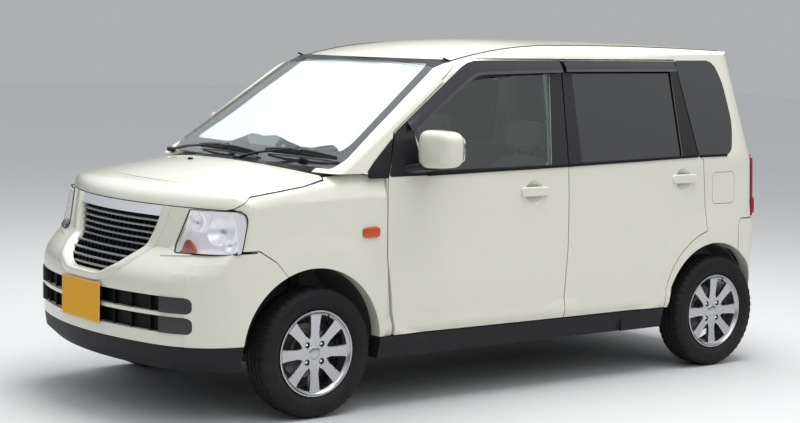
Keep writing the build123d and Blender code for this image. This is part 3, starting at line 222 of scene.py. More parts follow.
# the sunshade's glow is painted light: it brightens the foil behind the windscreen, which the glass keeps in
# shade
SHADE = material("foil_shade", (0.86, 0.95, 0.97), 0.5, painted_glow=0.42, spread=0.06, spread_scale=5.0, grain=0.35,
                 grain_scale=70.0)
CLOTH = material("seat_cloth", (0.19, 0.18, 0.165), 0.92, spread=0.14, spread_scale=60.0, grain=0.5,
                 grain_scale=1600.0, sheen=0.3)
DASH = material("dash_plastic", (0.055, 0.056, 0.062), 0.6, grain=0.25, grain_scale=1500.0, spread=0.08)
UNDER = material("under_black", (0.02, 0.02, 0.021), 0.75, spread=0.3, spread_scale=14.0, grain=0.3,
                 grain_scale=350.0)
FLOOR_PAINT = material("floor_paint", (0.1, 0.1, 0.098), 0.7, spread=0.2, spread_scale=10.0, grain=0.2)
ENGINE = material("engine_cast", (0.13, 0.13, 0.135), 0.55, metallic=0.6, spread=0.25, spread_scale=20.0,
                  grain=0.3, grain_scale=300.0)
MIRROR = material("mirror_silver", (0.9, 0.9, 0.92), 0.02, metallic=1.0, spread=0.005, rough_spread=0.01)

SLOTS = {  # the record's material slot that each finish belongs to
    PAINT: "paint", TRIM: "black_plastic", GLOSS_BLACK: "black_plastic", RUBBER: "black_plastic",
    TYRE: "tyre", ALLOY: "alloy", ALLOY_SHADE: "alloy", STEEL: "chassis_metal", REFLECTOR: "chrome",
    CHROME: "chrome", SLAT: "chrome", MIRROR: "chrome", MESH_BLACK: "black_plastic",
    VISOR: "black_plastic", DARK_GLASS: "dark_glass", LENS: "lamp_lens", RED_LENS: "red_lens",
    AMBER: "red_lens", WHITE_LENS: "red_lens", CLOTH: "seat_cloth", DASH: "cabin_plastic",
}

# --- Mesh helpers ---


def save(bm, mesh, sharp):
    """Writes the mesh back, smooth but for edges sharper than that many degrees."""
    bmesh.ops.recalc_face_normals(bm, faces=bm.faces)
    for face in bm.faces:
        face.smooth = True
    for edge in bm.edges:
        edge.smooth = len(edge.link_faces) == 2 and edge.calc_face_angle(0.0) < radians(sharp)
    bm.to_mesh(mesh)
    bm.free()


def piece(name, verts, faces, body, mat, sharp=35.0, slot=None):
    """A mesh object riding on a body, smooth but for sharp edges, in its finish's slot or a given one."""
    mesh = bpy.data.meshes.new(name)
    mesh.from_pydata([tuple(v) for v in verts], [], faces)
    bm = bmesh.new()
    bm.from_mesh(mesh)
    bmesh.ops.remove_doubles(bm, verts=bm.verts, dist=1e-6)
    save(bm, mesh, sharp)
    mesh.materials.append(mat)
    obj = bpy.data.objects.new(name, mesh)
    scene.collection.objects.link(obj)
    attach(obj, body)
    slot = slot or SLOTS.get(mat)
    if slot:
        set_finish(obj, slot)
    return obj


def right_hand(obj):
    """The same piece on the car's right side."""
    flipped = [(v.co.x, -v.co.y, v.co.z) for v in obj.data.vertices]
    faces = [tuple(reversed(p.vertices)) for p in obj.data.polygons]
    return piece(obj.name.replace("_left", "_right"), flipped, faces,
                 obj["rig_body"].replace("_left", "_right"), obj.data.materials[0], slot=obj.get("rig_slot"))


def join(shapes):
    """Several (points, faces) as one."""
    verts, faces = [], []
    for points, polygons in shapes:
        base = len(verts)
        verts += points
        faces += [tuple(i + base for i in f) for f in polygons]
    return verts, faces


def rings(rows, caps=True):
    """A skin over closed loops of points, with a cap at each end."""
    count = len(rows[0])
    verts = [p for row in rows for p in row]
    faces = []
    for r in range(len(rows) - 1):
        for k in range(count):
            a, b = r * count + k, r * count + (k + 1) % count
            faces.append((a, b, b + count, a + count))
    if caps:
        faces.append(tuple(reversed(range(count))))
        faces.append(tuple(range(len(verts) - count, len(verts))))
    return verts, faces


def angles(count):
    """Even steps round a circle."""
    return [2 * pi * k / count for k in range(count)]


def ring_faces(steps, count):
    """Quads between steps closed loops of count points that go once round."""
    faces = []
    for k in range(steps):
        n = (k + 1) % steps
        for j in range(count):
            m = (j + 1) % count
            faces.append((k * count + j, k * count + m, n * count + m, n * count + j))
    return faces


def lathe(profile, centre, turn, steps):
    """A closed (radius, reach) profile turned about an axis: turn maps (radial x, radial z, reach)."""
    verts = [Vector(turn(r * cos(a), r * sin(a), y)) + Vector(centre) for a in angles(steps)
             for r, y in profile]
    return verts, ring_faces(steps, len(profile))


def circle(u, v, r, steps=40):
    """A round outline."""
    return [(u + r * cos(a), v + r * sin(a)) for a in angles(steps)]


def trapezoid(half_1, v_1, half_2, v_2, radius, steps=5):
    """A rounded outline with two level edges: each one's half length and its height."""
    return rounded([(-half_1, v_1), (half_1, v_1), (half_2, v_2), (-half_2, v_2)], radius, steps)


def rounded(points, radius, steps=5):
    """A polygon with its corners rounded; radius may be one number or one for each corner."""
    out = []
    count = len(points)
    for k in range(count):
        r = radius[k] if isinstance(radius, (list, tuple)) else radius
        here, back, on = (Vector(points[i % count]) for i in (k, k - 1, k + 1))
        if r <= 0:
            out.append(tuple(here))
            continue
        u, v = (back - here), (on - here)
        angle = u.angle(v)
        reach = min(r / tan(angle / 2), u.length * 0.48, v.length * 0.48)
        u.normalize()
        v.normalize()
        a, b = here + u * reach, here + v * reach
        for s in range(steps + 1):
            t = s / steps
            out.append(tuple(a * (1 - t) ** 2 + here * 2 * t * (1 - t) + b * t ** 2))
    return out


def shrink(points, by):
    """An outline moved in towards its middle, or out where by is negative."""
    middle = sum((Vector(p) for p in points), Vector((0, 0))) / len(points)
    return [tuple(Vector(p) + (middle - Vector(p)).normalized() * by) for p in points]


PROBE = 1e-4  # how far apart a surface is read for its normal
MIDDLE = Vector((0.0, 0.0, 0.7))  # a point inside the car


def patch_mesh(outline, place, lift=0.0, thick=0.003, step=0.04, holes=()):
    """A thin closed solid over a surface: outline in (u, v), place(u, v) gives the surface's point."""
    bm = bmesh.new()
    edges = []
    for loop in [outline, *holes]:
        verts = [bm.verts.new((u, v, 0.0)) for u, v in loop]
        edges += [bm.edges.new((verts[k], verts[(k + 1) % len(verts)])) for k in range(len(verts))]
    bmesh.ops.triangle_fill(bm, use_beauty=True, use_dissolve=False, edges=edges, normal=(0, 0, 1))
    us = [v.co.x for v in bm.verts]
    vs = [v.co.y for v in bm.verts]
    for axis, low, high in ((0, min(us), max(us)), (1, min(vs), max(vs))):
        count = max(1, int((high - low) / step))
        for k in range(1, count):
            at = low + (high - low) * k / count
            point = (at, 0, 0) if axis == 0 else (0, at, 0)
            normal = (1, 0, 0) if axis == 0 else (0, 1, 0)
            geom = bm.verts[:] + bm.edges[:] + bm.faces[:]
            bmesh.ops.bisect_plane(bm, geom=geom, dist=1e-6, plane_co=point, plane_no=normal)
    bmesh.ops.recalc_face_normals(bm, faces=bm.faces)
    bm.verts.index_update()
    flat = [(v.co.x, v.co.y) for v in bm.verts]
    front = [tuple(v.index for v in f.verts) for f in bm.faces]
    rim = [(e.verts[0].index, e.verts[1].index) for e in bm.edges if len(e.link_faces) == 1]
    bm.free()
    outer, inner = [], []
    for u, v in flat:
        p = Vector(place(u, v))
        du = Vector(place(u + PROBE, v)) - Vector(place(u - PROBE, v))
        dv = Vector(place(u, v + PROBE)) - Vector(place(u, v - PROBE))
        n = du.cross(dv).normalized()
        if n.dot(p - MIDDLE) < 0:
            n = -n
        outer.append(p + n * lift)
        inner.append(p + n * (lift - thick))
    base = len(flat)
    faces = front + [tuple(i + base for i in reversed(f)) for f in front]
    faces += [(a, b, b + base, a + base) for a, b in rim]
    return outer + inner, faces


def patch(name, outline, place, body, mat, lift=0.0, thick=0.003, step=0.04, holes=()):
    """A thin closed solid over a surface, as a piece."""
    verts, faces = patch_mesh(outline, place, lift, thick, step, holes)
    return piece(name, verts, faces, body, mat)


def pair(*args):
    """A patch on the left side, and the same on the right."""
    right_hand(patch(*args))


SHARP_DEGREES = 50.0  # edges that round_off rounds


def round_off(obj, width, segments=3):
    """Rounds a piece's sharp edges in its mesh."""
    bm = bmesh.new()
    bm.from_mesh(obj.data)
    edges = [e for e in bm.edges
             if len(e.link_faces) == 2 and e.calc_face_angle(0.0) > radians(SHARP_DEGREES)]
    bmesh.ops.bevel(bm, geom=edges, offset=width, segments=segments, profile=0.5, affect="EDGES",
                    clamp_overlap=True)
    save(bm, obj.data, 35)


def super_box(centre, half, power=4.0, steps=14, shape=None):
    """A rounded box; shape may bend each unit point before it is scaled."""
    verts, faces = [], []
    for axis in range(3):
        for sign in (-1, 1):
            base = len(verts)
            for i in range(steps + 1):
                for j in range(steps + 1):
                    p = [0.0, 0.0, 0.0]
                    p[axis] = sign
                    p[(axis + 1) % 3] = tan((2 * i / steps - 1) * pi / 4)
                    p[(axis + 2) % 3] = tan((2 * j / steps - 1) * pi / 4)
                    size = sum(abs(c) ** power for c in p) ** (1 / power)
                    q = Vector([c / size for c in p])
                    if shape:
                        q = shape(q)
                    verts.append(Vector([q[k] * half[k] + centre[k] for k in range(3)]))
            for i in range(steps):
                for j in range(steps):
                    a = base + i * (steps + 1) + j
                    quad = (a, a + steps + 1, a + steps + 2, a + 1)
                    faces.append(quad if sign > 0 else tuple(reversed(quad)))
    return verts, faces


def direction(path, k):
    """Which way a line of points runs at one of them."""
    return (path[min(k + 1, len(path) - 1)] - path[max(k - 1, 0)]).normalized()


def tube(path, radius, sides=10, scale=(1.0, 1.0)):
    """A round or flattened bar along a line of points."""
    path = [Vector(p) for p in path]
    rows = []
    for k, p in enumerate(path):
        along = direction(path, k)
        across = along.cross(Vector((0, 0, 1)))
        if across.length < 1e-3:
            across = Vector((0, 1, 0))
        across.normalize()
        up = across.cross(along)
        r = radius[k] if isinstance(radius, (list, tuple)) else radius
        rows.append([p + across * (r * scale[0] * cos(a)) + up * (r * scale[1] * sin(a))
                     for a in angles(sides)])
    return rings(rows)


# --- The body's skin, as the model has it ---
BOW = 35.0  # the sides' radius in plan
CABIN_ROWS = [  # height, half width, tail x
    (0.218, 0.7, -1.672), (0.312, 0.722, -1.672), (0.338, 0.733, -1.672), (0.362, 0.733, -1.672),
    (0.402, 0.722, -1.672), (0.44, 0.724, -1.672), (0.64, 0.731, -1.672), (0.985, 0.717, -1.665),
    (1.012, 0.7124, -1.663), (1.57, 0.6175, -1.52),
]
NOSE = 1.6975
NOSE_ROWS = [  # height, nose x, nose radius, corner radius, half width
    (0.218, NOSE - 0.0575, 1.75, 0.28, 0.69), (0.262, NOSE - 0.0085, 1.75, 0.28, 0.704),
    (0.33, NOSE, 1.75, 0.28, 0.719), (0.56, NOSE, 1.75, 0.28, 0.729),
    (0.6, NOSE - 0.0135, 1.75, 0.27, 0.73), (0.645, NOSE - 0.0525, 1.7, 0.22, 0.731),
    (0.69, NOSE - 0.1075, 1.65, 0.14, 0.73), (0.85, NOSE - 0.1405, 1.6, 0.12, 0.7255),
    (0.878, NOSE - 0.1475, 1.6, 0.12, 0.724), (0.9, NOSE - 0.1625, 1.6, 0.12, 0.7225),
    (0.917, NOSE - 0.1905, 1.6, 0.12, 0.7215), (0.935, NOSE - 0.2755, 1.6, 0.12, 0.7205),
    (1.04, NOSE - 0.3, 1.6, 0.12, 0.712),
]


def row_at(rows, z):
    """A table's row at a height between its own."""
    z = min(max(z, rows[0][0]), rows[-1][0])
    for low, high in zip(rows, rows[1:]):
        if z <= high[0]:
            t = (z - low[0]) / (high[0] - low[0])
            return [a + (b - a) * t for a, b in zip(low, high)]
    return rows[-1]


def side(x, z):
    """A point of the cabin's left side."""
    return (x, row_at(CABIN_ROWS, z)[1] - BOW + sqrt(BOW**2 - x**2), z)


def fender_side(x, z):
    """A point of the front fender's left side."""
    return (x, row_at(NOSE_ROWS, z)[4] - BOW + sqrt(BOW**2 - x**2), z)


def nose(s, z):
    """A point of the nose: s runs round the plan outline from the middle to the left side."""
    _, nx, r, rc, half = row_at(NOSE_ROWS, z)
    sign = 1 if s >= 0 else -1
    s = abs(s)
    cy = half - rc
    for _ in range(12):
        cx = nx - r + sqrt((r - rc) ** 2 - cy**2)
        cy = half - BOW + sqrt((BOW - rc) ** 2 - cx**2)
    a = atan2(cy, cx - (nx - r))
    if s <= r * a:
        return (nx - r + r * cos(s / r), sign * r * sin(s / r), z)
    s -= r * a
    turn = pi / 2 - a
    if s <= rc * turn:
        b = a + s / rc
        return (cx + rc * cos(b), sign * (cy + rc * sin(b)), z)
    s -= rc * turn
    x = cx - s
    return (x, sign * (half - BOW + sqrt(BOW**2 - x**2)), z)


def last_true(low, high, test):
    """The largest number between two for which the test holds, by halving."""
    for _ in range(40):
        mid = (low + high) / 2
        if test(mid):
            low = mid
        else:
            high = mid
    return low


def nose_s(y, z):
    """The distance round the nose at which it has that half width."""
    return last_true(0.0, 1.2, lambda s: nose(s, z)[1] < y and nose(s, z)[0] > 1.2)


def nose_at(y, z, forward=0.0):
    """A point of the nose straight ahead of (y, z), moved forward."""
    return Vector(nose(copysign(nose_s(abs(y), z), y), z)) + Vector((forward, 0, 0))


# --- Floor, world and lamps ---
SKY_STRENGTH = 0.8
SKY_LOW, SKY_HIGH = 0.12, 0.42  # where the sky's grey turns to white
SKY_GREY, SKY_WHITE = (0.12, 0.125, 0.13, 1.0), (0.93, 0.96, 1.0, 1.0)
BACKDROP = (0.42, 0.43, 0.44, 1.0)
FLOOR_HALF = 40
LAMPS = [  # name, place, aim, size x, size y, watts
    ("key", (3.0, 4.5, 5.5), (0.2, 0.0, 0.6), 5.0, 3.5, 60.0),
    ("top", (-0.5, 0.0, 6.0), (-0.2, 0.0, 0.6), 6.0, 4.0, 470.0),
    ("fill", (-4.5, 5.0, 3.2), (-0.5, 0.0, 0.6), 4.0, 3.0, 25.0),
]


def studio():
    """A plain pale floor, an even sky and soft lamps."""
    mesh = bpy.data.meshes.new("studio_floor")
    corners = [(x * FLOOR_HALF, y * FLOOR_HALF, 0) for x, y in ((-1, -1), (1, -1), (1, 1), (-1, 1))]
    mesh.from_pydata(corners, [], [(0, 1, 2, 3)])
    floor = bpy.data.objects.new("studio_floor", mesh)
    mesh.materials.append(material("floor_pale", (0.56, 0.56, 0.558), 0.9, spread=0.01, spread_scale=0.6))
    scene.collection.objects.link(floor)
    floor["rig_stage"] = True
    world = bpy.data.worlds.new("studio")
    scene.world = world
    world.use_nodes = True
    tree = world.node_tree
    link = tree.links.new
    light = tree.nodes["Background"]
    light.inputs["Strength"].default_value = SKY_STRENGTH
    split = add(tree, "SeparateXYZ")
    link(add(tree, "TexCoord").outputs["Generated"], split.inputs["Vector"])
    height = add(tree, "MapRange", From_Min=SKY_LOW, From_Max=SKY_HIGH)
    link(split.outputs["Z"], height.inputs["Value"])
    sky = add(tree, "Mix", A=SKY_GREY, B=SKY_WHITE)
    link(height.outputs["Result"], sky.inputs["Factor"])
    link(sky.outputs["Result"], light.inputs["Color"])
    seen = add(tree, "Background", Color=BACKDROP, Strength=1.0)
    mix = add(tree, "MixShader")
    link(add(tree, "LightPath").outputs["Is Camera Ray"], mix.inputs["Fac"])
    link(light.outputs["Background"], mix.inputs[1])
    link(seen.outputs["Background"], mix.inputs[2])
    link(mix.outputs["Shader"], tree.nodes["World Output"].inputs["Surface"])
    for name, place, aim, size_x, size_y, watts in LAMPS:
        lamp = bpy.data.lights.new(name, "AREA")
        lamp.shape = "RECTANGLE"
        lamp.size, lamp.size_y = size_x, size_y
        lamp.energy = watts
        obj = bpy.data.objects.new(name, lamp)
        obj.location = place
        obj.rotation_mode = "QUATERNION"
        obj.rotation_quaternion = (Vector(aim) - Vector(place)).to_track_quat("-Z", "Y")
        scene.collection.objects.link(obj)


studio()

# --- CAD nodes that stay, with better finishes ---
KEPT = {
    PAINT: ["body_side_left", "body_side_right", "bonnet", "door_front_left", "door_front_right",
            "door_rear_left", "door_rear_right", "fenders", "front_bumper", "rear_bumper", "fuel_lid",
            "roof_panel", "tailgate"],
    CLEAR: ["glass_front_left", "glass_front_right"],
    SCREEN_GLASS: ["fixed_glass"],
    DARK_GLASS: ["glass_rear_left", "glass_rear_right", "tailgate_glass"],
    GLOSS_BLACK: ["cowl"],
    SILL: ["lower_trim"],
    DASH: ["dashboard", "steering_wheel"],
    CLOTH: ["seats"],
    FLOOR_PAINT: ["floor_pan"],
    UNDER: ["front_suspension", "knuckle_left", "knuckle_right", "rear_axle", "underbody"],
    ENGINE: ["engine_block"],
    SATIN: ["grille_bar"],
    RED_LENS: ["tail_lamps"],
}
WELD_WITHIN = 2e-5
CREASE_DEGREES = {"bonnet": 36}  # edges sharper than this stay sharp; 24 for the others
for mat, names in KEPT.items():
    for name in names:
        obj = frame["nodes"][name]
        for place in obj.material_slots:
            place.material = mat
        if mat not in (CLEAR, SCREEN_GLASS, DARK_GLASS):
            extra = obj.data.attributes.get("custom_normal")
            if extra:
                obj.data.attributes.remove(extra)
            obj.data.shade_smooth()
            weld = obj.modifiers.new("weld", "WELD")
            weld.merge_threshold = WELD_WITHIN
            split = obj.modifiers.new("split", "EDGE_SPLIT")
            split.split_angle = radians(CREASE_DEGREES.get(name, 24))
            obj.modifiers.new("even", "WEIGHTED_NORMAL")

# --- Wheels ---
TRACK_Y = 0.6475
WHEEL_Z = 0.266
TYRE_STEPS = 192
SHOULDER_CUT, TREAD_CUT = 0.0045, 0.004
TYRE_SIDE = [  # radius, reach, groove: 0 none, 1 over the shoulder, 2 across the tread
    (0.1795, 0.056, 0), (0.1815, 0.06, 0), (0.186, 0.065, 0), (0.193, 0.0705, 0), (0.202, 0.0745, 0),
    (0.21, 0.0768, 0), (0.212, 0.0775, 0), (0.2135, 0.077, 0), (0.22, 0.0773, 0), (0.23, 0.0766, 0),
    (0.24, 0.0745, 0), (0.242, 0.0748, 0), (0.2432, 0.0735, 0), (0.25, 0.071, 1), (0.256, 0.0675, 1),
    (0.26, 0.0625, 1), (0.2628, 0.056, 1), (0.264, 0.05, 1), (0.2645, 0.047, 1), (0.2645, 0.0455, 2),
    (0.2585, 0.045, 0), (0.2585, 0.0375, 0), (0.265, 0.037, 2), (0.2656, 0.025, 2), (0.2658, 0.0175, 2),
    (0.259, 0.017, 0), (0.259, 0.0095, 0), (0.266, 0.009, 2),
]
TYRE_FOOT = [(0.1795, -0.0515, 0), (0.169, -0.051, 0), (0.169, 0.051, 0), (0.1795, 0.0515, 0)]
BARREL = [
    (0.178, 0.0512), (0.178, 0.06), (0.1765, 0.0632), (0.1735, 0.064), (0.1705, 0.0632), (0.169, 0.06),
    (0.166, 0.056), (0.158, 0.05), (0.156, 0.02), (0.1555, -0.056), (0.17, -0.061),
    (0.1745, -0.064), (0.1775, -0.062), (0.178, -0.0512), (0.168, -0.0508), (0.164, -0.03),
    (0.164, 0.03), (0.168, 0.0508),
]
SPOKES = 8
SPOKE_SIDE = [(0.073, 0.021), (0.085, 0.0195), (0.12, 0.0215), (0.148, 0.0242), (0.156, 0.0275),
              (0.16, 0.02)]  # radius, half width
SPOKE_TIP = (0.1603, 0.0)
SPOKE_THICK = 0.016
FACE_Y, FACE_RISE = 0.047, 0.007  # the spokes' reach at the middle, and how much further out it is at the rim
WEB_R, LUG_CIRCLE, LUG_R = 0.064, 0.05, 0.0125
NUT = [(0.0, 0.044), (0.005, 0.0435), (0.0078, 0.0405), (0.0085, 0.037), (0.0085, 0.026), (0.0, 0.026)]
CUP = [(0.0, 0.0305), (0.0128, 0.03), (0.0128, 0.028), (0.0, 0.028)]
CAP = [(0.0, 0.0515), (0.012, 0.0512), (0.0215, 0.05), (0.0265, 0.0482), (0.0285, 0.046), (0.0285, 0.04),
       (0.0, 0.04)]
BRAKE = [(0.0, 0.026), (0.058, 0.026), (0.06, 0.024), (0.06, -0.02), (0.068, -0.028), (0.112, -0.03),
         (0.114, -0.032), (0.114, -0.044), (0.112, -0.0455), (0.02, -0.0455), (0.017, -0.044), (0.017, 0.02),
         (0.0, 0.02)]
VALVE = [(0.0, 0.013), (0.0028, 0.013), (0.0032, 0.004), (0.0045, 0.0), (0.0045, -0.006), (0.0, -0.006)]
VALVE_R, VALVE_ANGLE, VALVE_Y = 0.1545, 2.0, 0.05


def star_outline():
    """The spoked face's outline round the wheel."""
    outline = []
    points = [(r, -t) for r, t in SPOKE_SIDE] + [(SPOKE_TIP[0], -SPOKE_TIP[1])]
    points += [(r, t) for r, t in reversed(SPOKE_SIDE)]
    for k in range(SPOKES):
        mid = pi / 2 + 2 * pi * k / SPOKES
        for r, t in points:
            outline.append((r * cos(mid) - t * sin(mid), r * sin(mid) + t * cos(mid)))
        web = mid + pi / SPOKES
        outline.append((WEB_R * cos(web), WEB_R * sin(web)))
    return outline


def wheel(name, axle_x, hand):
    """A tyre with its tread, and an eight-spoke alloy wheel."""
    body = f"wheel_{name}"
    centre = Vector((axle_x, hand * TRACK_Y, WHEEL_Z))

    def turn(rx, rz, y):
        return (rx, hand * y, rz)

    def face_at(u, v):
        y = FACE_Y + FACE_RISE * min(1.0, max(0.0, (hypot(u, v) - 0.04) / 0.12)) ** 1.3
        return (axle_x + u, hand * (TRACK_Y + y), WHEEL_Z + v)

    profile = TYRE_SIDE + [(r, -y, g) for r, y, g in reversed(TYRE_SIDE)] + TYRE_FOOT
    verts = []
    for k, a in enumerate(angles(TYRE_STEPS)):
        for r, y, groove in profile:
            if groove and (k + (2 if y < 0 else 0)) % 4 == 0:
                r -= SHOULDER_CUT if groove == 1 else (TREAD_CUT if k % 8 == 0 else 0.0)
            verts.append(centre + Vector(turn(r * cos(a), r * sin(a), y)))
    tyre = piece(f"tyre_tread_{name}", verts, ring_faces(TYRE_STEPS, len(profile)), body, TYRE, sharp=30)
    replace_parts(tyre, f"tyre_{name}")
    rim = piece(f"wheel_rim_{name}", *lathe(BARREL, centre, turn, 96), body, ALLOY)
    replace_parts(rim, f"rim_{name}")

    lugs = [(LUG_CIRCLE * cos(a), LUG_CIRCLE * sin(a)) for a in (pi / 4 + k * pi / 2 for k in range(4))]
    star = patch_mesh(star_outline(), face_at, 0.0, SPOKE_THICK, 0.013,
                      [circle(u, v, LUG_R, 20) for u, v in lugs])
    round_off(piece(f"wheel_spokes_{name}", *star, body, ALLOY), 0.0028)
    at = [centre + Vector((u, 0, v)) for u, v in lugs]
    nuts = join([lathe(NUT, p, turn, 6) for p in at])
    piece(f"wheel_nuts_{name}", *nuts, body, CHROME, sharp=25)
    # dark discs at the foot of the lug holes: painted shade
    cups = join([lathe(CUP, p, turn, 20) for p in at])
    piece(f"wheel_cups_{name}", *cups, body, ALLOY_SHADE)
    piece(f"wheel_cap_{name}", *lathe(CAP, centre, turn, 40), body, ALLOY)
    piece(f"wheel_brake_{name}", *lathe(BRAKE, centre, turn, 64), body, STEEL)
    stem = centre + Vector((VALVE_R * cos(VALVE_ANGLE), hand * VALVE_Y, VALVE_R * sin(VALVE_ANGLE)))
    piece(f"wheel_valve_{name}", *lathe(VALVE, stem, turn, 12), body, RUBBER, slot="tyre")


FRONT_X, REAR_X = 1.0135, -1.3265
WHEELS = [
    ("front_left", FRONT_X, 1), ("front_right", FRONT_X, -1),
    ("rear_left", REAR_X, 1), ("rear_right", REAR_X, -1),
]
for name, axle_x, hand in WHEELS:
    wheel(name, axle_x, hand)

# --- Sashes, visors and belt mouldings ---
FRONT_SASH = [
    (0.668, 0.971), (0.623, 1.153), (0.206, 1.452), (-0.329, 1.458), (-0.328, 0.9885), (-0.2, 0.9865),
    (0.445, 0.9725),
]
FRONT_WINDOW = [(0.535, 1.173), (0.201, 1.372), (0.094, 1.389), (-0.267, 1.404), (-0.237, 0.998),
                (0.5, 0.988)]
REAR_SASH = [
    (-0.3374, 1.458), (-1.0715, 1.463), (-1.1875, 1.026), (-1.189, 1.019), (-0.3342, 0.9885),
]
REAR_WINDOW = [(-0.388, 1.412), (-1.049, 1.422), (-1.087, 1.017), (-0.409, 1.003)]
QUARTER_EDGE = [(-1.0775, 1.468), (-1.348, 1.4715), (-1.41, 1.36), (-1.456, 1.17), (-1.435, 1.02),
                (-1.1965, 1.019)]

SASH_LAP, SASH_LIFT, SASH_THICK = 0.006, 0.0016, 0.0022
FRONT_CORNERS, FRONT_HOLE_CORNERS = [0.012, 0.05, 0.16, 0, 0, 0, 0], [0.02, 0.03, 0.03, 0.014, 0.014, 0.01]
pair("sash_front_left", rounded(FRONT_SASH, FRONT_CORNERS), side, "door_front_left", GLOSS_BLACK, SASH_LIFT,
     SASH_THICK, 0.05, [rounded(shrink(FRONT_WINDOW, SASH_LAP), FRONT_HOLE_CORNERS)])
pair("sash_rear_left", rounded(REAR_SASH, [0, 0.02, 0, 0, 0]), side, "door_rear_left", GLOSS_BLACK, SASH_LIFT,
     SASH_THICK, 0.05, [rounded(shrink(REAR_WINDOW, SASH_LAP), 0.014)])
pair("quarter_pane_left", rounded(QUARTER_EDGE, [0.012, 0.1, 0.3, 0.3, 0.06, 0.012], 9), side, "body",
     DARK_GLASS, 0.0012, 0.004, 0.05)

# black strips on the edge walls of the door gaps, reaching 20 mm into them: painted shade that keeps the gaps
# dark
GAP_SHADE_IN, GAP_SHADE_OUT = 0.0006, 0.0009
GAP_SHADES = [  # name, body, foot of the edge, head of the edge
    ("lining_front_left", "door_front_left", (0.671, 0.966), (0.6245, 1.153)),
    ("lining_rear_left", "door_rear_left", (-0.334, 0.988), (-0.3378, 1.46)),
    ("lining_quarter_left", "body", (-1.1955, 1.022), (-1.0765, 1.466)),
]
for name, body, foot, head in GAP_SHADES:
    gap_shade = [(foot[0] - GAP_SHADE_IN, foot[1]), (foot[0] + GAP_SHADE_OUT, foot[1]),
              (head[0] + GAP_SHADE_OUT, head[1]), (head[0] - GAP_SHADE_IN, head[1])]
    pair(name, gap_shade, side, body, RUBBER, 0.0008, 0.02, 0.06)

BELT_WIDE, BELT_LIFT, BELT_THICK = 0.012, 0.005, 0.006


def belt(name, path, body):
    """A narrow moulding along a path of (x, z) points on the side."""
    path = [Vector(p) for p in path]
    left, right = [], []
    for k, p in enumerate(path):
        t = direction(path, k)
        n = Vector((-t.y, t.x))
        left.append(tuple(p + n * BELT_WIDE / 2))
        right.append(tuple(p - n * BELT_WIDE / 2))
    obj = patch(name, left + right[::-1], side, body, RUBBER, BELT_LIFT, BELT_THICK, 0.06)
    round_off(obj, BELT_THICK * 0.3, 2)
    return obj


BELTS = [  # name, body, path
    ("belt_front_left", "door_front_left", [(0.47, 0.976), (0.2, 0.983), (-0.05, 0.9885), (-0.327, 0.9945)]),
    ("belt_rear_left", "door_rear_left", [(-0.338, 0.995), (-0.7, 1.005), (-1.0, 1.013), (-1.188, 1.018)]),
    ("belt_quarter_left", "body", [(-1.2, 1.0175), (-1.3, 1.018), (-1.4, 1.0185)]),
]
for name, body, path in BELTS:
    right_hand(belt(name, path, body))

VISOR_STEPS = 6
VISOR_FOOT, VISOR_RISE, VISOR_THICK = 0.003, 0.021, 0.0025
VISOR_OUT = Vector((0.0, 1.0, 0.17)).normalized()


def visor(name, outer, inner, body):
    """A smoked wind deflector: its top edge on the frame, its lower edge standing out over the glass."""
    rows = []
    for (ux, uz), (lx, lz) in zip(outer, inner):
        line_out, line_in = [], []
        for k in range(VISOR_STEPS + 1):
            t = k / VISOR_STEPS
            p = Vector(side(ux + (lx - ux) * t, uz + (lz - uz) * t))
            rise = VISOR_FOOT + VISOR_RISE * sin(t * pi / 2) ** 1.2
            line_out.append(p + VISOR_OUT * rise)
            line_in.append(p + VISOR_OUT * (rise - VISOR_THICK))
        rows.append(line_out + line_in[::-1])
    return piece(name, *rings(rows), body, VISOR)


def even(points, count):
    """Points at even steps along a line."""
    points = [Vector(p) for p in points]
    run = [0.0]
    for a, b in zip(points, points[1:]):
        run.append(run[-1] + (b - a).length)
    out = []
    for k in range(count):
        at = run[-1] * k / (count - 1)
        i = next(i for i in range(len(points) - 1) if at <= run[i + 1] + 1e-9)
        out.append(points[i] + (points[i + 1] - points[i]) * ((at - run[i]) / (run[i + 1] - run[i])))
    return out


front_top = rounded([(0.56, 1.196), (0.207, 1.453), (-0.322, 1.46)], [0, 0.17, 0], 8)
front_low = rounded([(0.548, 1.152), (0.178, 1.388), (-0.322, 1.403)], [0, 0.15, 0], 8)
right_hand(visor("visor_front_left", even(front_top, 26), even(front_low, 26), "door_front_left"))
rear_top = [(-0.345, 1.46), (-1.066, 1.464)]
rear_low = [(-0.345, 1.406), (-1.064, 1.413)]
right_hand(visor("visor_rear_left", even(rear_top, 18), even(rear_low, 18), "door_rear_left"))

# the black tip of the fender under the mirror
SAIL_TIP = [(0.6768, 0.966), (0.6365, 1.131), (0.744, 1.032), (0.7765, 0.996), (0.7765, 0.966)]
pair("sail_tip_left", rounded(SAIL_TIP, [0.002, 0.003, 0.08, 0.02, 0.012]), side, "body", GLOSS_BLACK, 0.002,
     0.003, 0.04)

# --- Side lamps ---
SIDE_LAMP_AT, SIDE_LAMP_HALF = (0.7615, 0.0, 0.748), (0.0435, 0.008, 0.0225)
SIDE_LAMP_OUT = 0.001
verts, faces = super_box(SIDE_LAMP_AT, SIDE_LAMP_HALF, 4.0, 14)
verts = [Vector((v.x, v.y + fender_side(v.x, v.z)[1] + SIDE_LAMP_OUT, v.z)) for v in verts]
right_hand(piece("side_lamp_left", verts, faces, "body", AMBER))

# --- Mirrors ---
SHELL_AT, SHELL_HALF = (0.497, 0.834, 1.089), (0.062, 0.099, 0.078)
MIRROR_EDGE = [(0.745, 1.03), (0.745, 1.148), (0.912, 1.143), (0.912, 1.038)]  # across, height
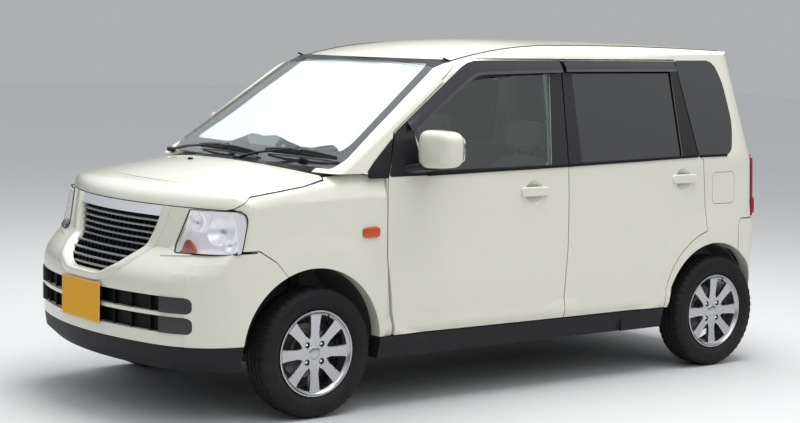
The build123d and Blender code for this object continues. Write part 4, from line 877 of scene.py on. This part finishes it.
# the foot's x, y, z, half width and half height: at the door, and the change towards the mirror
FOOT_FORM = [(0.528, -0.028), (0.69, 0.085), (0.996, 0.022), (0.075, -0.026), (0.022, -0.004)]


def mirror_form(q):
    """The housing's taper: lower and shorter towards its outer end."""
    return Vector((q.x * (1.0 - 0.1 * max(0.0, q.y)), q.y, q.z * (1.0 - 0.06 * q.y) + 0.03 * q.y))


def mirror_face(y, z):
    """A point of the mirror's glass, turned a little outwards."""
    return (0.435 + 0.03 * (y - 0.83), y, z)


shell = super_box(SHELL_AT, SHELL_HALF, 4.2, 20, mirror_form)
shell = piece("mirror_shell_left", *shell, "door_front_left", PAINT, sharp=60)
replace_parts(shell, "mirror_left")
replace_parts(right_hand(shell), "mirror_right")
pair("mirror_glass_left", rounded(MIRROR_EDGE, 0.03), mirror_face, "door_front_left", MIRROR, 0.0, 0.004,
     0.05)


def squared(value):
    """A sine or cosine drawn out towards the corners."""
    return copysign(abs(value) ** 0.6, value)


foot_rows = []
for t in (0.0, 0.25, 0.5, 0.75, 1.0):
    x, y, z, wide, tall = (start + change * t for start, change in FOOT_FORM)
    foot_rows.append([Vector((x + wide * squared(cos(a)), y, z + tall * squared(sin(a))))
                      for a in angles(24)])
right_hand(piece("mirror_foot_left", *rings(foot_rows), "door_front_left", GLOSS_BLACK))

# --- Grille ---
GRILLE_EDGE = [  # height, half width
    (0.57, 0.13), (0.622, 0.236), (0.695, 0.3), (0.775, 0.332), (0.852, 0.348),
]


def grille_half(z):
    """The grille opening's half width at a height."""
    return row_at(GRILLE_EDGE, z)[1]


GRILLE_BACK = (0.014, 0.034)  # how far behind the nose the slats stand, at the grille's head and foot


def grille_depth(z):
    """How far the slats stand back: most at the foot, so that the grille is upright."""
    foot, head = GRILLE_EDGE[0][0], GRILLE_EDGE[-1][0]
    return GRILLE_BACK[0] + (GRILLE_BACK[1] - GRILLE_BACK[0]) * (head - z) / (head - foot)


def across(reach, count=25):
    """Even places from one side of the middle to the other."""
    return [-reach + 2 * reach * j / (count - 1) for j in range(count)]


SLATS, SLAT_FOOT, SLAT_PITCH = 9, 0.586, 0.0253
SLAT_HALF = (0.0075, 0.0052)  # forward, up
slats = []
for k in range(SLATS):
    z = SLAT_FOOT + k * SLAT_PITCH
    rows = []
    for y in across(grille_half(z) - 0.006):
        p = nose_at(y, z, -grille_depth(z))
        rows.append([p + Vector((SLAT_HALF[0] * cos(a) - 0.002, 0, SLAT_HALF[1] * sin(a)))
                     for a in angles(10)])
    slats.append(rings(rows))
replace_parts(piece("grille_slats", *join(slats), "body", SLAT), "grille")


def sheet(rows, thick):
    """A closed plate between a grid of points and the same grid moved back."""
    count, total = len(rows[0]), len(rows[0]) * len(rows)
    verts = [p for row in rows for p in row] + [p + Vector((-thick, 0, 0)) for row in rows for p in row]
    faces = []
    for r in range(len(rows) - 1):
        for k in range(count - 1):
            a = r * count + k
            faces.append((a, a + 1, a + count + 1, a + count))
            faces.append((total + a, total + a + count, total + a + count + 1, total + a + 1))
    rim = list(range(count)) + [r * count + count - 1 for r in range(1, len(rows))]
    rim += [(len(rows) - 1) * count + k for k in range(count - 2, -1, -1)]
    rim += [r * count for r in range(len(rows) - 2, 0, -1)]
    faces += [(a, b, total + b, total + a) for a, b in zip(rim, rim[1:] + rim[:1])]
    return verts, faces


BACKING_BEHIND = 0.022  # behind the slats
BACKING_ROWS = (0.573, 0.6, 0.622, 0.66, 0.7, 0.75, 0.808)  # heights
back = [[nose_at(y, z, -grille_depth(z) - BACKING_BEHIND) for y in across(grille_half(z) + 0.004)]
        for z in BACKING_ROWS]
piece("grille_backing", *sheet(back, 0.004), "body", MESH_BLACK)
TEETH, TOOTH_PITCH, TOOTH_BEHIND = 17, 0.036, 0.014
TOOTH_HALF = (0.008, 0.005, 0.0125)
teeth = []
for k in range(SLATS - 1):
    z = SLAT_FOOT + (k + 0.5) * SLAT_PITCH
    for j in range(TEETH):
        y = (j - (TEETH - 1) / 2) * TOOTH_PITCH
        if abs(y) < grille_half(z) - 0.02:
            teeth.append(super_box(nose_at(y, z, -grille_depth(z) - TOOTH_BEHIND), TOOTH_HALF, 6.0, 2))
piece("grille_teeth", *join(teeth), "body", MESH_BLACK)

# the raised body-colour lip round the grille's sides and foot
LIP_STEPS = 60
LIP_ROUND = [0, 0.2, 0.2, 0.2, 0.14, 0.14, 0.2, 0.2, 0.2, 0]
LIP_SECTION = [  # away from the opening, out from the nose
    (-0.009, -0.026), (-0.004, -0.009), (0.001, 0.002), (0.004, 0.0065), (0.01, 0.009), (0.018, 0.0085),
    (0.028, 0.005), (0.036, 0.0015), (0.04, -0.001), (0.04, -0.006),
]
rim_line = [(h, z) for z, h in reversed(GRILLE_EDGE)] + [(-h, z) for z, h in GRILLE_EDGE]
path = even(rounded(rim_line, LIP_ROUND, 6), LIP_STEPS)
lip_rows = []
for k, p in enumerate(path):
    t = direction(path, k)
    away = Vector((-t.y, t.x))
    if away.dot(p - Vector((0.0, 0.8))) < 0:
        away = -away
    row = []
    for out, rise in LIP_SECTION:
        q = p + away * out
        surface = nose_at(q.x, q.y)
        row.append(surface + Vector((surface.x - 0.9, surface.y * 0.4, 0.25)).normalized() * rise)
    lip_rows.append(row)
piece("grille_lip", *rings(lip_rows), "body", PAINT, sharp=50)

# bumper slots: a dark panel behind, ribs, and smooth end caps
SLOT_REACH, SLOT_MARGIN, RIB_HALF = 0.64, 0.01, 0.004


def box(u_low, v_low, u_high, v_high):
    """A rectangle's corners."""
    return [(u_low, v_low), (u_high, v_low), (u_high, v_high), (u_low, v_high)]


for row, (low, high) in enumerate(((0.372, 0.437), (0.452, 0.515))):
    patch(f"slot_panel_{row}", box(-SLOT_REACH, low - SLOT_MARGIN, SLOT_REACH, high + SLOT_MARGIN), nose,
          "body", MESH_BLACK, -0.031, 0.003, 0.05)
    ribs = []
    for y in [v * 0.11 for v in range(-4, 5)]:
        s = copysign(nose_s(abs(y), low), y) if y else 0.0
        ribs.append(patch_mesh(box(s - RIB_HALF, low - RIB_HALF, s + RIB_HALF, high + RIB_HALF), nose,
                               -0.016, 0.016, 0.03))
    piece(f"slot_ribs_{row}", *join(ribs), "body", MESH_BLACK)
    cap = box(nose_s(0.5, low), low + 0.001, nose_s(0.6235, low), high - 0.001)
    cap = patch(f"slot_cap_{row}_left", rounded(cap, [0.002, 0.026, 0.026, 0.002], 6), nose, "body", TRIM,
                -0.0005, 0.02, 0.02)
    round_off(cap, 0.004)
    right_hand(cap)

# --- Number plates ---
PLATES = [("front", 1.704, 0.448, "body"), ("rear", -1.676, 0.8, "tailgate")]  # x of the face, height, body
# half width, half height and corner radius of the plate, and of its bead's outer and inner edge
PLATE_SIZES = [(0.165, 0.0825, 0.006), (0.163, 0.0805, 0.006), (0.1595, 0.077, 0.005)]
for name, x, z, body in PLATES:
    place = (lambda u, v, x=x: (x, u, v))
    rim, bead, inner = (trapezoid(wide, z - tall, wide, z + tall, r) for wide, tall, r in PLATE_SIZES)
    patch(f"plate_{name}", rim, place, body, PLATE, 0.0, 0.0016, 0.2)
    patch(f"plate_bead_{name}", bead, place, body, PLATE_EDGE, 0.001, 0.0012, 0.2, [inner])

# --- Windscreen: border, shade and wipers ---

SCREEN_ROWS = [(0.985, 0.985), (1.012, 0.9464), (1.57, 0.1497)]  # height, x at the middle
SCREEN_R = 5.5


def screen(y, z, inset=0.0):
    """A point of the windscreen's outer face."""
    x = row_at(SCREEN_ROWS, z)[1]
    return (x - inset - SCREEN_R + sqrt(SCREEN_R**2 - y**2), y, z)


# half width and height of the head and the foot
SCREEN_EDGE, SCREEN_OPENING = (0.553, 1.452, 0.676, 1.008), (0.479, 1.438, 0.591, 1.062)
BORDER_BEHIND = 0.0245
patch("screen_border", trapezoid(*SCREEN_EDGE, 0.04, 8), lambda y, z: screen(y, z, BORDER_BEHIND), "body",
      GLOSS_BLACK, 0.0, 0.002, 0.06, [trapezoid(*SCREEN_OPENING, 0.045, 8)])

SHADE_FOOT = [  # across, height
    (-0.605, 1.03), (-0.553, 1.036), (-0.396, 1.052), (-0.26, 1.064), (-0.215, 1.083), (-0.185, 1.101),
    (-0.13, 1.101), (-0.075, 1.096), (0.016, 1.104), (0.07, 1.099), (0.145, 1.086), (0.267, 1.07),
    (0.35, 1.07), (0.4, 1.081), (0.456, 1.089), (0.5, 1.08), (0.529, 1.07), (0.59, 1.05),
]
shade_low = rounded(SHADE_FOOT, [0] + [0.03] * (len(SHADE_FOOT) - 2) + [0], 3)
shade_edge = [(0.474, 1.43), (-0.474, 1.43)] + shade_low

SHADE_BEHIND = 0.046


def shade_at(y, z):
    """The sunshade's gently waved sheet behind the windscreen."""
    wave = 0.005 * sin(y * 17 + z * 9) + 0.003 * sin(z * 31 - y * 6)
    return screen(y, z, SHADE_BEHIND + wave)


patch("sunshade", shade_edge, shade_at, "body", SHADE, 0.0, 0.003, 0.03)

WIPER_STEPS = 12


def wiper(name, pivot, knee, blade):
    """A parked wiper: its arm from the pivot cap to the blade, and the blade along the glass."""
    arm = tube([pivot, pivot + (knee - pivot) * 0.35 + Vector((0.01, 0, 0.008)), knee],
               [0.011, 0.009, 0.006], 10, (1.0, 0.6))
    cap = super_box(pivot, (0.02, 0.02, 0.012), 3.0, 8)
    last = WIPER_STEPS
    line = [blade[0] + (blade[1] - blade[0]) * (k / last) for k in range(last + 1)]
    bow = [p + Vector((0.012, 0, 0.01)) * (1 - (2 * k / last - 1) ** 2) for k, p in enumerate(line)]
    thickness = [0.003 + 0.005 * sin(pi * (k + 0.6) / (last + 1.2)) for k in range(last + 1)]
    spine = tube(bow, thickness, 8, (0.9, 1.5))
    rubber = tube([p + Vector((-0.004, 0, -0.004)) for p in line], 0.004, 6, (0.8, 1.8))
    clip = super_box(bow[last // 2], (0.014, 0.03, 0.01), 4.0, 8)
    piece(name, *join([arm, cap, spine, rubber, clip]), "body", GLOSS_BLACK)


def on_screen(y, z, out):
    """A point a little way out from the windscreen."""
    return Vector(screen(y, z)) + Vector((0.58, 0.0, 0.81)) * out


wiper("wiper_right", on_screen(-0.59, 0.998, 0.012), on_screen(-0.14, 1.04, 0.024),
      (on_screen(-0.4, 1.034, 0.008), on_screen(0.105, 1.03, 0.008)))
wiper("wiper_left", on_screen(0.02, 1.002, 0.012), on_screen(0.37, 1.054, 0.024),
      (on_screen(0.135, 1.046, 0.008), on_screen(0.615, 1.043, 0.008)))

# --- Roof mouldings, washer nozzle and rear fittings, set on the solids by rays ---


def land(x, y, z, way, *nodes):
    """Where a ray from a point first meets one of the CAD nodes."""
    start, best = Vector((x, y, z)), None
    for name in nodes:
        hit, place, _, _ = frame["nodes"][name].ray_cast(start, Vector(way))
        if hit and (best is None or (place - start).length < (best - start).length):
            best = place.copy()
    return best


ROOF_ENDS = (0.272, -1.44)
ROOF_STEPS = 48
ROOF_LINE_Y = 0.5535
ROOF_SECTION = [  # across, up
    (-0.0075, -0.003), (-0.0075, 0.0012), (-0.004, 0.0026), (0.003, 0.0024), (0.0075, 0.0002),
    (0.0075, -0.004),
]
roof_rows = []
for k in range(ROOF_STEPS):
    x = ROOF_ENDS[0] + (ROOF_ENDS[1] - ROOF_ENDS[0]) * k / (ROOF_STEPS - 1)
    p = land(x, ROOF_LINE_Y, 2.0, (0, 0, -1), "roof_panel", "body_side_left")
    p = p or Vector((x, ROOF_LINE_Y, 1.46))
    roof_rows.append([p + Vector((0, dy, dz)) for dy, dz in ROOF_SECTION])
right_hand(piece("roof_moulding_left", *rings(roof_rows), "body", RUBBER))

nozzle = land(1.09, -0.17, 2.0, (0, 0, -1), "bonnet")
nozzle = super_box(nozzle + Vector((0, 0, 0.003)), (0.01, 0.013, 0.007), 3.0, 8)
piece("washer_nozzle", *nozzle, "bonnet", GLOSS_BLACK)

TAIL_R = 7.0


def tail(y, z):
    """A point of the car's back."""
    return (row_at(CABIN_ROWS, z)[2] + TAIL_R - sqrt(TAIL_R**2 - y**2), y, z)


# half width and height of two level edges
TAIL_EDGE, TAIL_OPENING = (0.497, 1.038, 0.467, 1.437), (0.455, 1.085, 0.432, 1.405)
GARNISH, PULL, STOP_LAMP = (0.3, 0.9, 0.285, 0.952), (0.09, 0.882, 0.09, 0.898), (0.12, 1.452, 0.118, 1.474)
patch("tail_border", trapezoid(*TAIL_EDGE, 0.045, 8), tail, "tailgate", GLOSS_BLACK, -0.013, 0.002, 0.06,
      [trapezoid(*TAIL_OPENING, 0.04, 8)])
garnish = patch("tail_garnish", trapezoid(*GARNISH, 0.016), tail, "tailgate", PAINT, 0.016, 0.018, 0.05)
round_off(garnish, 0.006)
patch("tail_pull", trapezoid(*PULL, 0.004), tail, "tailgate", GLOSS_BLACK, 0.01, 0.011, 0.05)


def off_tail(y, z, out):
    """A point a little way out from the car's back."""
    return Vector(tail(y, z)) + Vector((-out, 0, 0))


blade = [off_tail(-0.02 - 0.34 * k / 10, 1.075 + 0.004 * k, 0.01) for k in range(11)]
arm = [off_tail(0.0, 1.005, 0.016), off_tail(-0.05, 1.045, 0.026), off_tail(-0.19, 1.095, 0.018)]
boss = super_box(off_tail(0.0, 1.0, 0.008), (0.016, 0.024, 0.024), 3.0, 8)
piece("wiper_rear", *join([tube(blade, 0.006, 8, (0.7, 1.5)), tube(arm, [0.01, 0.008, 0.006], 10), boss]),
      "tailgate", GLOSS_BLACK)
patch("stop_lamp", trapezoid(*STOP_LAMP, 0.006), tail, "tailgate", RED_LENS, 0.008, 0.01, 0.04)


def on_lamp(y, z):
    """A point of the tail lamp's rear face."""
    return tuple(land(-2.2, y, z, (1, 0, 0), "tail_lamps") or Vector(tail(y, z)))


TAIL_LENS = [(0.59, 0.724), (0.666, 0.724), (0.655, 1.008), (0.59, 1.008)]
tail_lens = patch("tail_lens_left", rounded(TAIL_LENS, 0.018), on_lamp, "body", RED_LENS, 0.011, 0.014, 0.012)
round_off(tail_lens, 0.004)
right_hand(tail_lens)
for name, mat, low, high in (("turn", AMBER, 0.88, 0.935), ("reverse", WHITE_LENS, 0.815, 0.87)):
    pair(f"tail_{name}_left", rounded(box(0.592, low, 0.648, high), 0.01), on_lamp, "body", mat, 0.0122,
         0.003, 0.012)

# --- Seats ---


CHANNELS, CHANNEL_WIDE, CHANNEL_DEEP = (-0.58, 0.58), 0.045, 0.1  # in shares of the cushion's half sizes
WAIST = 0.05


def cushion(name, centre, half, lean, thin, fill):
    """A padded block with crowned faces and two sewn channels; thin is the axis of its padding."""
    def shape(q):
        dip = sum(exp(-((q.y - c) / CHANNEL_WIDE) ** 2) for c in CHANNELS)
        waist = 1.0 - WAIST * (1 - abs(q.z if thin == 0 else q.x)) * abs(q.y)
        q = Vector((q.x, q.y * waist, q.z))
        q[thin] *= 1.0 - CHANNEL_DEEP * dip
        return q

    verts, faces = super_box((0, 0, 0), half, 3.6, 30, shape)
    turn = Matrix.Rotation(radians(lean), 3, "Y")
    verts = [turn @ v + Vector(centre) for v in verts]
    obj = piece(name, verts, faces, "body", CLOTH, sharp=60)
    return obj


SEAT_Y = 0.33
SEAT_PARTS = [  # name, centre x and z, half sizes, lean in degrees, axis of the padding, fill
    ("seat_cushion", (-0.02, 0.4), (0.205, 0.238, 0.068), 5, 2, 0.8),
    ("seat_back", (-0.345, 0.72), (0.06, 0.225, 0.3), -14, 0, 0.8),
    ("headrest", (-0.412, 1.105), (0.042, 0.125, 0.068), -8, 0, 0.9),
]
BENCH_PARTS = [
    ("bench_cushion", (-0.745, 0.455), (0.185, 0.485, 0.058), 4, 2, 0.8),
    ("bench_back", (-1.015, 0.74), (0.045, 0.485, 0.262), -12, 0, 0.8),
]
RAIL_HALF, RAIL_APART = (0.21, 0.018, 0.034), 0.17
STEM_R, STEM_PLACES = 0.006, (-0.38, -0.28, 0.28, 0.38)
for hand, seat_side in ((1, "left"), (-1, "right")):
    for name, (x, z), *form in SEAT_PARTS:
        part = cushion(f"{name}_{seat_side}", (x, SEAT_Y * hand, z), *form)
        if name == "seat_cushion":
            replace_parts(part, "seats")
for name, (x, z), *form in BENCH_PARTS:
    cushion(name, (x, 0.0, z), *form)
frames = [super_box((-0.07, y + step, 0.298), RAIL_HALF, 6.0, 6)
          for y in (-SEAT_Y, SEAT_Y) for step in (-RAIL_APART, RAIL_APART)]
frames.append(super_box((-0.76, 0.0, 0.33), (0.17, 0.44, 0.066), 8.0, 8))
stems = [tube([(-0.405, y, 0.98), (-0.412, y, 1.1)], STEM_R, 8) for y in STEM_PLACES]
piece("seat_frames", *join(frames + stems), "body", DASH)

# --- Headlamps ---


def recess_end(z):
    """Where the lamp's recess ends round the nose at a height."""
    return last_true(0.3, 1.2, lambda s: nose(s, z)[0] > 1.38)


RECESS = rounded([(nose_s(0.4155, 0.667), 0.667), (recess_end(0.69), 0.6905), (recess_end(0.8385), 0.8385),
                  (nose_s(0.49, 0.8485), 0.8485)], [0.028, 0.022, 0.045, 0.012], 8)
LAMP_EDGE = rounded([(0.452, 0.6775), (0.768, 0.685), (0.7655, 0.853), (0.4985, 0.849)],
                    [0.03, 0.016, 0.055, 0.012], 8)
lens = patch("lamp_lens_left", LAMP_EDGE, nose, "body", LENS, 0.0032, 0.003, 0.02)
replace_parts(lens, "headlamps")
right_hand(lens)
LAMP_CORNER = [  # paint between the lens and the recess at the lamp's inner edge and foot
    (0.4175, 0.6645), (0.47, 0.668), (0.565, 0.6752), (0.56, 0.679), (0.49, 0.6785), (0.47, 0.6808),
    (0.46, 0.688), (0.4565, 0.7), (0.459, 0.715), (0.4985, 0.849), (0.493, 0.851),
]
pair("lamp_corner_left", LAMP_CORNER, nose, "body", PAINT, 0.0005, 0.012, 0.02)
LAMP_CHEEK = [  # reflector between the recess and the lens at the lamp's outer edge
    (recess_end(0.69) - 0.006, 0.687), (0.766, 0.687), (0.764, 0.8), (0.748, 0.836), (0.71, 0.85),
    (0.501, 0.847), (0.501, 0.843), (recess_end(0.8385) - 0.05, 0.835), (recess_end(0.8385) - 0.006, 0.82),
]
pair("lamp_cheek_left", LAMP_CHEEK, nose, "body", REFLECTOR, 0.0009, 0.001, 0.02)


def nose_frame(s, z):
    """A point of the nose with its directions away from the car, round it and up."""
    along = (Vector(nose(s + 0.001, z)) - Vector(nose(s - 0.001, z))).normalized()
    up = (Vector(nose(s, z + 0.001)) - Vector(nose(s, z - 0.001))).normalized()
    return Vector(nose(s, z)), along.cross(up).normalized(), along, up


def bowl(s, z, radius, depth, sink):
    """A lamp's dished reflector with its bulb, behind the lens."""
    p, out, along, up = nose_frame(s, z)
    if out.x < 0:
        out = -out

    def turn(a, b, y):
        return along * a + up * b + out * y

    dish = [(radius * k / 10, -sink - depth * (1 - (k / 10) ** 2)) for k in range(11)]
    profile = dish + [(radius + 0.003, -sink), (radius + 0.003, -sink - 0.004)]
    profile += [(r, y - 0.003) for r, y in reversed(dish)]
    bulb = [(radius * r, -sink - depth * y) for r, y in BULB]
    return lathe(profile, p, turn, 48), lathe(bulb, p, turn, 24)


# in shares of the bowl's radius and depth
BULB = [(0.0, 0.25), (0.13, 0.3), (0.17, 0.5), (0.17, 0.95), (0.0, 0.95)]
LAMP_DEEP = 0.026
BOWLS = [  # round the nose, height, radius, depth, how far behind the lens
    (0.655, 0.778, 0.06, 0.03, LAMP_DEEP), (0.715, 0.722, 0.024, 0.008, 0.014),
    (0.535, 0.8, 0.03, 0.008, 0.014),
]
opening = circle(BOWLS[0][0], BOWLS[0][1], BOWLS[0][2] - 0.0005)
pair("lamp_bezel_left", shrink(RECESS, 0.002), nose, "body", REFLECTOR, -LAMP_DEEP, 0.003, 0.012, [opening])
WALL_DEPTHS = [-0.0035, -0.01, -0.02, -0.027]
walls = []
for inset, depths in ((0.001, WALL_DEPTHS), (0.0035, WALL_DEPTHS[::-1])):
    for depth in depths:
        row = []
        for u, v in shrink(RECESS, inset):
            p, out, _, _ = nose_frame(u, v)
            row.append(p + (out if out.dot(Vector((1, 1, 0))) > 0 else -out) * depth)
        walls.append(row)
verts, faces = rings(walls, caps=False)
count = len(walls[0])
last = (len(walls) - 1) * count
faces += [(last + k, last + (k + 1) % count, (k + 1) % count, k) for k in range(count)]
right_hand(piece("lamp_wall_left", verts, faces, "body", REFLECTOR))
dishes, bulbs = zip(*(bowl(*row) for row in BOWLS))
right_hand(piece("lamp_bowls_left", *join(dishes), "body", REFLECTOR))
right_hand(piece("lamp_bulbs_left", *join(bulbs), "body", WHITE_LENS, slot="lamp_lens"))
flutes = []
for k in range(7):
    at = 0.475 + k * 0.016
    flute = [(at, 0.765 + k * 0.0005), (at + 0.0035, 0.765), (at + 0.0125, 0.838), (at + 0.009, 0.838)]
    flutes.append(patch_mesh(flute, nose, -0.0215, 0.005, 0.02))
right_hand(piece("lamp_flutes_left", *join(flutes), "body", REFLECTOR))
LAMP_TURN = [(0.484, 0.679), (0.566, 0.681), (0.545, 0.712), (0.512, 0.736), (0.497, 0.722)]
pair("lamp_turn_left", rounded(LAMP_TURN, [0.006, 0.01, 0.03, 0.02, 0.02]), nose, "body", AMBER, -0.009,
     0.012, 0.012)
pair("lamp_seal_left", shrink(LAMP_EDGE, -0.0022), nose, "body", RUBBER, 0.003, 0.006, 0.03,
     [shrink(LAMP_EDGE, 0.0012)])

low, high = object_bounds()
